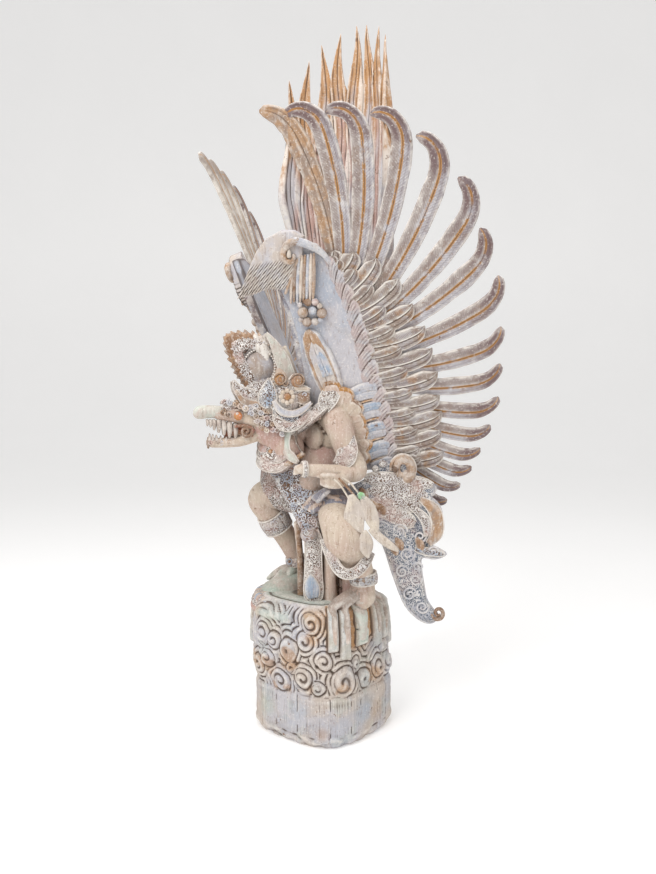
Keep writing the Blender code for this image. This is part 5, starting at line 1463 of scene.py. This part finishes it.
def carve_hood(sizes, side, name, node):
    """The combed crest that rolls over the front of the shoulder, with its volute and rosette."""
    outline = [(-0.25, 0.386), (-0.23, 0.42), (-0.204, 0.466), (-0.186, 0.496), (-0.162, 0.522), (-0.13, 0.536),
            (-0.1, 0.534), (-0.078, 0.52), (-0.08, 0.48), (-0.098, 0.448), (-0.122, 0.408), (-0.142, 0.406),
            (-0.17, 0.41), (-0.206, 0.396)]
    depth = 0.046
    if side < 0:
        outline = [(-0.076 + 0.34 * (x + 0.076), y) for x, y in outline]
    middle, spread = np.mean(outline, axis=0), (0.105 if side > 0 else 0.05, 0.092)
    hood = Carving()
    hood.plate(outline, depth, Matrix.Translation((0, 0, depth / 2 - 0.008)), "hood")

    def combed(points):
        x, y, z = points.T
        reach = np.hypot((x - middle[0]) / spread[0], (y - middle[1]) / spread[1])
        z = z * np.sqrt((1 - 0.75 * reach ** 3).clip(0.12))
        share = window(0.478 + 0.1 * (x + 0.16) - y, 0.0, 0.03)
        groove = np.cos(2 * math.pi * (x - 0.92 * y) / 0.0068)
        z = z + np.where(z > 0.004, 1.0, 0.0) * 0.003 * share * (groove - 1) * 0.6
        low = window(0.432 + 0.35 * (x + 0.2) - y, 0.0, 0.03)
        y = y - 0.008 * low * window(groove, -0.2, 1.0)
        x = x - 0.006 * low * window(groove, -0.2, 1.0)
        return on_wing(sizes, side, np.column_stack([x, y, z]))

    hood.finish(name + "_hood", node, "wing_paint", fuse=0.002, soften=3, shape=combed, rounds=6, depth=0.0008)
    carving = Carving()

    def wing_limb(stations, coat, **options):
        raised_limb(carving, lambda spots: on_wing(sizes, side, spots), stations, coat, **options)

    def wing_ball(x, y, z, radius, coat):
        carving.ball(tuple(on_wing(sizes, side, (x, y, z))), (radius,) * 3, coat, around=20, up=12)

    front = depth - 0.012
    wing_limb([(-0.018, 0.458, 0.018, 0.006), (-0.036, 0.484, front - 0.01, 0.008),
            (-0.066, 0.505, front, 0.01), (-0.09, 0.513, front + 0.002, 0.01)], "lavender")
    wing_limb([(-0.086, 0.513, front + 0.003, 0.009), (-0.108, 0.508, front + 0.005, 0.009),
            (-0.122, 0.49, front + 0.006, 0.008), (-0.118, 0.47, front + 0.006, 0.0075),
            (-0.102, 0.468, front + 0.006, 0.006), (-0.097, 0.482, front + 0.006, 0.004)], "gold")
    wing_limb([(-0.108, 0.492, front + 0.006, 0.004), (-0.108, 0.482, front + 0.008, 0.006)], "leaf")
    for k in range(8):
        x = -0.116 + 0.0078 * k
        wing_limb([(x + 0.014 - 0.0006 * k, 0.474 + 0.001 * k, 0.03, 0.003), (x + 0.004, 0.42, 0.028, 0.0048),
                (x - 0.004, 0.366 + 0.003 * (k % 2), 0.02, 0.0026)], ("tan", "brown", "lavender")[k % 3],
                sides=10)
    wing_limb([(-0.092, 0.47, 0.034, 0.003), (-0.128, 0.392, 0.03, 0.0035)], "gold")
    wing_ball(-0.067, 0.346, 0.026, 0.01, "blue")
    for x, y, radius, coat in ((-0.092, 0.342, 0.0135, "gold"), (-0.046, 0.338, 0.0125, "brown"),
            (-0.078, 0.366, 0.0095, "brown"), (-0.06, 0.366, 0.009, "salmon"), (-0.084, 0.318, 0.012, "brown"),
            (-0.064, 0.318, 0.0095, "stone"), (-0.098, 0.36, 0.007, "stone"), (-0.05, 0.356, 0.007, "leaf"),
            (-0.098, 0.324, 0.007, "stone"), (-0.05, 0.322, 0.007, "lavender")):
        wing_ball(x, y, 0.021, radius, coat)
    leaf = smooth_path([(-0.084, 0.298), (-0.066, 0.24), (-0.05, 0.19), (-0.036, 0.14)], 12)
    along = np.linspace(0, 1, len(leaf))
    half = np.interp(along, (0, 0.12, 0.35, 0.7, 1), (0.006, 0.024, 0.034, 0.036, 0.03))
    blade(carving, sizes, side, leaf, half, 0.017, 0.008, "lavender", rim=0.003, quill=0.0)
    blade(carving, sizes, side, leaf, 0.88 * half, 0.02, 0.007, "gold", rim=0.001)
    blade(carving, sizes, side, leaf, 0.6 * half * window(along, 0.1, 0.35), 0.0225, 0.006, "stone", rim=0.001)
    blade(carving, sizes, side, leaf[8:-10] + (0.006, 0.0), 0.42 * half[8:-10] * window(along[8:-10], 0.2, 0.5),
            0.025, 0.006, "blue", rim=0.001)
    carving.finish(name + "_volute_and_rosette", node, "wing_paint", rounds=4)


# Fan behind the shoulders

def flame_height(sizes, across):
    """How high the fan reaches at each place across it, from 0 to 1."""
    place = (across + 1) / 2 * sizes.flames
    index = np.minimum(place.astype(int), sizes.flames - 1)
    tallest = 1 - ((2 * index + 1) / sizes.flames - 1) ** 2
    foot, tip = 0.68 + 0.17 * tallest, 0.84 + 0.16 * tallest
    return foot + (tip - foot) * (1 - np.abs(place - index - 0.5) * 2) ** 0.95


def carve_tail(sizes):
    """Nine flames side by side on a curved panel, each with raised edges and a cut middle line."""
    rows, cols = 100, sizes.flames * 14 + 1
    across = np.linspace(-1, 1, cols)
    share = np.linspace(0, 1, rows)[:, None]
    top = flame_height(sizes, across)[None, :]
    height = -0.09 + (top + 0.09) * share
    stem = sizes.stem_width / sizes.width
    width = np.interp(height, (-0.09, 0.12, 0.3, 0.44, 0.58, 1.0), (stem, stem, 0.45, 0.85, 1.0, 1.0))
    place = (across + 1) / 2 * sizes.flames
    inside = 2 * np.abs(place - np.floor(place).clip(0, sizes.flames - 1) - 0.5)[None, :] * np.ones((rows, 1))
    carved = window(height, 0.1, 0.3)
    rise = carved * (0.004 * np.exp(-((inside - 0.8) / 0.14) ** 2) - 0.003 * np.exp(-(inside / 0.1) ** 2)
            - 0.005 * window(inside, 0.93, 1.0))
    rise = rise + 0.0003 * np.sin(height * 90 + across * 5)
    reach = sizes.curl_radius - rise
    sway = 0.0075 * np.sin(height * 19 + 2.2 * np.floor(place)[None, :]) * window(height / top, 0.62, 0.8)
    turn = (across * width * sizes.width / 2 + sway) / sizes.curl_radius
    front = np.stack([reach * np.sin(turn), height * sizes.length,
                      sizes.curl_radius - reach * np.cos(turn)], -1)
    thick = sizes.thickness * (1 - 0.75 * window(share, 0.86, 1.0))
    reach = sizes.curl_radius + thick + 0.6 * rise
    back = np.stack([reach * np.sin(turn), height * sizes.length, sizes.curl_radius - reach * np.cos(turn)], -1)
    home = Matrix.Translation(station(0.012, 0.1, 0.76)) @ Matrix.Rotation(sizes.turn, 4, "Z")
    home = home @ Matrix.Rotation(math.pi / 2, 4, "X")
    carving = Carving()
    tips = np.broadcast_to(height / top, (rows, cols))
    carving.sheet(placed(home, front.reshape(-1, 3)).reshape(front.shape),
            placed(home, back.reshape(-1, 3)).reshape(back.shape), "flame", inside,
            tips * np.ones((rows, cols)))
    carving.finish("fan_of_flames", "tail_fan", "fan_paint", rounds=6)


# Hip sash flares

def carve_sash(side):
    """A ring of curls at the hip, a broad leaf behind it and a long lappet ending in a curl."""
    wings, sizes = bpy.context.scene.garuda_wing, bpy.context.scene.garuda_sash
    root = (wings.left_root if side > 0 else wings.right_root) + sizes.outside_root
    sweep = (wings.left_sweep if side > 0 else wings.right_sweep) - sizes.inside_wing
    back = Vector((side * math.sin(sweep), math.cos(sweep), 0.0))
    grid = Matrix((back, Vector((0, 0, 1)), back.cross(Vector((0, 0, 1))))).transposed().to_4x4()
    home = Matrix.Translation(station(side * root, 0.04, 0.6)) @ grid
    size = sizes.length

    def at(points):
        points = np.array(points, dtype=float)
        points[..., :2] *= size
        points[..., 2] *= side
        return placed(home, points.reshape(-1, 3)).reshape(points.shape)

    shares = [(-0.05, 0.09), (0.05, 0.14), (0.113, 0.179), (0.2, 0.27), (0.254, 0.3), (0.356, 0.338),
            (0.43, 0.3), (0.455, 0.22), (0.46, 0.15), (0.55, 0.13), (0.615, 0.088), (0.6, 0.03), (0.575, 0.015),
            (0.64, -0.05), (0.668, -0.132), (0.66, -0.24), (0.62, -0.33), (0.57, -0.37), (0.64, -0.4),
            (0.701, -0.441), (0.62, -0.475), (0.51, -0.47), (0.51, -0.58), (0.53, -0.7), (0.55, -0.8),
            (0.6, -0.88), (0.64, -0.93), (0.6, -0.985), (0.512, -0.971), (0.393, -0.858), (0.297, -0.623),
            (0.218, -0.385), (0.12, -0.2), (-0.05, -0.12)]
    flat = Carving()
    flat.plate([(size * x, size * y) for x, y in shares], sizes.thickness, Matrix.Identity(4), "sash_cloth")

    def shaped(points):
        points[:, 2] += 0.004 * np.sin(points[:, 0] * 40 + points[:, 1] * 22)
        points[:, 2] *= side
        return placed(home, points)

    label, node = ("left", "left_sash_flare") if side > 0 else ("right", "right_sash_flare")
    flat.finish(label + "_sash_panel", node, "sash_paint", fuse=0.0037, soften=2, shape=shaped)
    carving = Carving()

    def raised(stations, coat, **options):
        raised_limb(carving, at, stations, coat, **options)

    front = sizes.thickness / 2
    out = tuple(home.to_3x3() @ Vector((0, 0, side)))
    ring = [(0.362 + (0.066 - 0.006 * a) * math.cos(a), 0.232 + (0.08 - 0.007 * a) * math.sin(a), front + 0.003,
            0.012 - 0.001 * a) for a in np.linspace(-1.0, 5.6, 16)]
    raised(ring, "gold", steps=3)
    raised([(0.362 + 0.1 * math.cos(a), 0.232 + 0.112 * math.sin(a), front - 0.002, 0.0036)
            for a in np.linspace(-1.5, 2.6, 14)], "bone", steps=2)
    raised([(0.362 + 0.092 * math.cos(a), 0.232 + 0.1 * math.sin(a), front - 0.002, 0.005)
            for a in np.linspace(-2.2, 3.2, 16)], "gold", steps=2)
    carving.ball(tuple(at((0.305, 0.228, front + 0.006))), (0.009, 0.009, 0.009), "dark", around=16, up=10)
    carving.ball(tuple(at((0.205, 0.27, front))), (0.01, 0.01, 0.01), "beaded", around=18, up=12)
    carving.ball(tuple(at((0.15, 0.23, front))), (0.009, 0.009, 0.009), "beaded", around=18, up=12)
    for start, middle, end, half, coat in (((0.06, 0.15), (0.3, 0.12), (0.6, 0.1), 0.026, "beaded"),
            ((0.08, 0.06), (0.32, 0.04), (0.56, 0.03), 0.024, "beaded"), ((0.12, -0.02), (0.34, -0.03),
            (0.5, -0.06), 0.026, "beaded"), ((0.14, -0.1), (0.3, -0.14), (0.46, -0.2), 0.026, "beaded"),
            ((0.16, -0.2), (0.28, -0.26), (0.38, -0.32), 0.02, "sash_cloth"), ((0.46, -0.4), (0.56, -0.42),
            (0.69, -0.44), 0.01, "beaded_blue")):
        spine = smooth_path([start, middle, end], 8)
        share = np.linspace(0, 1, len(spine))
        rows = at(np.column_stack([spine, np.full(len(spine), front + 0.001)]))
        petal(carving, np.column_stack([rows, half * np.sin(math.pi * (0.06 + 0.9 * share)) ** 0.6])[::2], coat,
                out, dome=0.005, thick=sizes.thickness)
    for path, coat, half in ((((0.5, 0.0), (0.6, -0.08), (0.635, -0.18), (0.625, -0.28), (0.565, -0.355)),
            "gold", 0.015), (((0.42, -0.06), (0.52, -0.14), (0.555, -0.22), (0.55, -0.3)), "beaded", 0.011)):
        rows = at([(x, y, front + 0.004) for x, y in path])
        petal(carving, np.column_stack([rows, [0.4 * half] + [half] * (len(path) - 2) + [0.5 * half]]), coat,
                out, dome=0.005, thick=sizes.thickness)
    for x, y in ((0.06, 0.03), (0.14, -0.06), (0.2, -0.09), (0.34, -0.36), (0.5, -0.36), (0.3, -0.4)):
        petal(carving, np.column_stack([at([(x - 0.03, y + 0.05, front + 0.004), (x, y, front + 0.006),
                (x + 0.02, y - 0.05, front + 0.004)]), (0.004, 0.011, 0.004)]), "brown", out, None, 0.002,
                0.006)
    for x, y, radius, turns, hand in ((0.34, -0.26, 0.02, 1.6, 1), (0.5, -0.3, 0.016, 1.4, -1),
            (0.26, -0.36, 0.014, 1.3, 1), (0.4, -0.44, 0.02, 1.6, -1), (0.36, -0.58, 0.018, 1.5, 1),
            (0.47, -0.64, 0.016, 1.4, -1), (0.42, -0.76, 0.019, 1.5, 1), (0.52, -0.86, 0.017, 1.5, -1),
            (0.6, -0.42, 0.015, 1.4, 1), (0.48, -0.54, 0.012, 1.2, 1), (0.3, -0.14, 0.014, 1.3, -1),
            (0.2, -0.22, 0.014, 1.3, 1)):
        count = int(turns * 12)
        path = []
        for k in range(count + 1):
            part = k / count
            turn = hand * 2 * math.pi * turns * part
            reach = radius * (1 - 0.8 * part) / size
            path.append((x + reach * math.cos(turn), y + reach * math.sin(turn), front + 0.001 + 0.003 * part,
                    0.0032 - 0.001 * part))
        raised(path, "lavender", steps=2, sides=8)
    edge = [(x, y, 0.0, 0.0038) for x, y in shares[9:] + shares[:1]]
    raised(edge, "lavender", steps=4, sides=10)
    curl_path = [(0.645 + 0.05 * (1 - a / 11) * math.cos(a + 3.4), -0.905
            + 0.056 * (1 - a / 11) * math.sin(a + 3.4), front - 0.002 + 0.0008 * a, 0.0068 - 0.0005 * a)
            for a in np.linspace(0, 8.5, 22)]
    raised(curl_path, "brown", steps=2)
    carving.finish(label + "_sash_carving", node, "sash_paint", rounds=4)


# Stage

def set_stage(sizes):
    """A pale floor that rises into a backdrop, soft light, and the camera at the photo's angle."""
    rows = []
    for x in (-14.0, 14.0):
        row = [(x, -14.0, 0.0), (x, 6.0, 0.0)]
        row += [(x, 6.0 + 3.0 * math.sin(a), 3.0 - 3.0 * math.cos(a)) for a in np.linspace(0.2, math.pi / 2, 8)]
        row.append((x, 9.0, 14.0))
        rows.append(row)
    count = len(rows[0])
    data = bpy.data.meshes.new("floor")
    data.from_pydata(rows[0] + rows[1], [], [(k, k + count, k + count + 1, k + 1) for k in range(count - 1)])
    data.shade_smooth()
    finish = Finish("pale_floor")
    paint = finish.over(sizes.floor, [0.96 * v for v in sizes.floor], finish.clouds(1.2, 2))
    finish.tree.links.new(paint, finish.shader.inputs["Base Color"])
    finish.shader.inputs["Roughness"].default_value = 0.9
    finish.shader.inputs["Emission Color"].default_value = (1.0, 1.0, 1.0, 1.0)
    finish.shader.inputs["Emission Strength"].default_value = 0.22
    data.materials.append(finish.material)
    floor = bpy.data.objects.new("floor", data)
    floor.matrix_world = Matrix.Rotation(sizes.direction, 4, "Z")
    bpy.context.scene.collection.objects.link(floor)
    world = bpy.data.worlds.new("studio")
    world.use_nodes = True
    world.node_tree.nodes["Background"].inputs["Color"].default_value = (1.0, 1.0, 1.0, 1.0)
    world.node_tree.nodes["Background"].inputs["Strength"].default_value = 0.55
    bpy.context.scene.world = world
    bpy.context.scene.view_settings.view_transform = "Standard"
    for name, turn, rise, power, size in (("key", -35, 3.0, 1.0, 1.8), ("fill", 50, 2.2, 0.2, 3.0), ("top", 0,
            4.0, 0.8, 2.0)):
        lamp = bpy.data.lights.new(name, "AREA")
        lamp.energy = sizes.key_light * power
        lamp.size = size
        light = bpy.data.objects.new(name, lamp)
        around = sizes.direction + math.radians(turn)
        reach = 0.4 if name == "top" else 2.6
        light.location = (reach * math.sin(around), -reach * math.cos(around), rise)
        aim = Vector((0, 0, 0.9)) - light.location
        light.rotation_mode = "QUATERNION"
        light.rotation_quaternion = aim.to_track_quat("-Z", "Y")
        bpy.context.scene.collection.objects.link(light)
    lens = bpy.data.cameras.new("camera")
    lens.sensor_width = 36.0
    lens.lens = sizes.lens
    camera = bpy.data.objects.new("camera", lens)
    camera.location = (sizes.distance * math.sin(sizes.direction), -sizes.distance * math.cos(sizes.direction),
            sizes.eye_height)
    around = sizes.direction + sizes.yaw
    look = Vector((-math.sin(around) * math.cos(sizes.pitch), math.cos(around) * math.cos(sizes.pitch),
            -math.sin(sizes.pitch)))
    camera.rotation_mode = "QUATERNION"
    camera.rotation_quaternion = look.to_track_quat("-Z", "Y")
    bpy.context.scene.collection.objects.link(camera)
    bpy.context.scene.camera = camera


# Operators, one for each group of like pieces

class GARUDA_OT_mix_paints(bpy.types.Operator):
    """Mix the worn paints of the statue"""
    bl_idname = "garuda.mix_paints"
    bl_label = "Mix Paints"

    def execute(self, context):
        mix_paints(context.scene.garuda_paints)
        return {"FINISHED"}


class GARUDA_OT_carve_base(bpy.types.Operator):
    """Carve the rock base with its planks, cloud scrolls and toes"""
    bl_idname = "garuda.carve_base"
    bl_label = "Carve Base"

    def execute(self, context):
        carve_base(context.scene.garuda_base)
        heap_rocks(context.scene.garuda_base)
        return {"FINISHED"}


class GARUDA_OT_carve_body(bpy.types.Operator):
    """Carve the legs, torso and arms with their bands"""
    bl_idname = "garuda.carve_body"
    bl_label = "Carve Body"

    def execute(self, context):
        carve_legs(context.scene.garuda_figure)
        carve_torso(context.scene.garuda_figure)
        carve_bands()
        return {"FINISHED"}


class GARUDA_OT_carve_cloth(bpy.types.Operator):
    """Carve the loincloth, its lappet and the sprig in his hand"""
    bl_idname = "garuda.carve_cloth"
    bl_label = "Carve Cloth"

    def execute(self, context):
        carve_cloth(context.scene.garuda_figure)
        hang_lappet()
        grow_sprig()
        return {"FINISHED"}


class GARUDA_OT_carve_head(bpy.types.Operator):
    """Carve the bird head and its crown"""
    bl_idname = "garuda.carve_head"
    bl_label = "Carve Head and Crown"

    def execute(self, context):
        carve_head(context.scene.garuda_figure)
        carve_crown()
        return {"FINISHED"}


class GARUDA_OT_carve_wings(bpy.types.Operator):
    """Carve both wings, feather by feather"""
    bl_idname = "garuda.carve_wings"
    bl_label = "Carve Wings"

    def execute(self, context):
        sizes = context.scene.garuda_wing
        for side, name in ((1, "left"), (-1, "right")):
            node = name + "_wing"
            carve_flight_feathers(sizes, side, name, node)
            carve_coverts(sizes, side, name, node)
            carve_shoulder(sizes, side, name, node)
            carve_hood(sizes, side, name, node)
        return {"FINISHED"}


class GARUDA_OT_carve_tail(bpy.types.Operator):
    """Carve the fan of flames behind the shoulders"""
    bl_idname = "garuda.carve_tail"
    bl_label = "Carve Fan of Flames"

    def execute(self, context):
        carve_tail(context.scene.garuda_tail)
        return {"FINISHED"}


class GARUDA_OT_carve_sashes(bpy.types.Operator):
    """Carve the sash flare on each hip"""
    bl_idname = "garuda.carve_sashes"
    bl_label = "Carve Sash Flares"

    def execute(self, context):
        for side in (1, -1):
            carve_sash(side)
        return {"FINISHED"}


class GARUDA_OT_set_stage(bpy.types.Operator):
    """Set the floor, the soft light and the camera"""
    bl_idname = "garuda.set_stage"
    bl_label = "Set Stage"

    def execute(self, context):
        set_stage(context.scene.garuda_stage)
        return {"FINISHED"}


STEPS = (GARUDA_OT_mix_paints, GARUDA_OT_carve_base, GARUDA_OT_carve_body, GARUDA_OT_carve_cloth,
        GARUDA_OT_carve_head, GARUDA_OT_carve_wings, GARUDA_OT_carve_tail, GARUDA_OT_carve_sashes,
        GARUDA_OT_set_stage)


class GARUDA_PT_statue(bpy.types.Panel):
    bl_label = "Garuda Statue"
    bl_space_type = "VIEW_3D"
    bl_region_type = "UI"
    bl_category = "Garuda"

    def draw(self, context):
        for group, sizes in SETTINGS.items():
            box = self.layout.box()
            box.label(text=group.split("_")[1].title())
            for name in sizes.__annotations__:
                box.prop(getattr(context.scene, group), name)
        for step in STEPS:
            self.layout.operator(step.bl_idname)


CLASSES = tuple(SETTINGS.values()) + STEPS + (GARUDA_PT_statue,)


def register():
    """Adds the panel, its buttons and its settings."""
    for item in CLASSES:
        bpy.utils.register_class(item)
    for name, sizes in SETTINGS.items():
        setattr(bpy.types.Scene, name, bpy.props.PointerProperty(type=sizes))


def unregister():
    """Takes them away again."""
    for name in SETTINGS:
        delattr(bpy.types.Scene, name)
    for item in reversed(CLASSES):
        bpy.utils.unregister_class(item)


def main():
    """Presses each button in turn."""
    register()
    for step in STEPS:
        family, action = step.bl_idname.split(".")
        getattr(getattr(bpy.ops, family), action)()


if __name__ == "__main__":
    main()
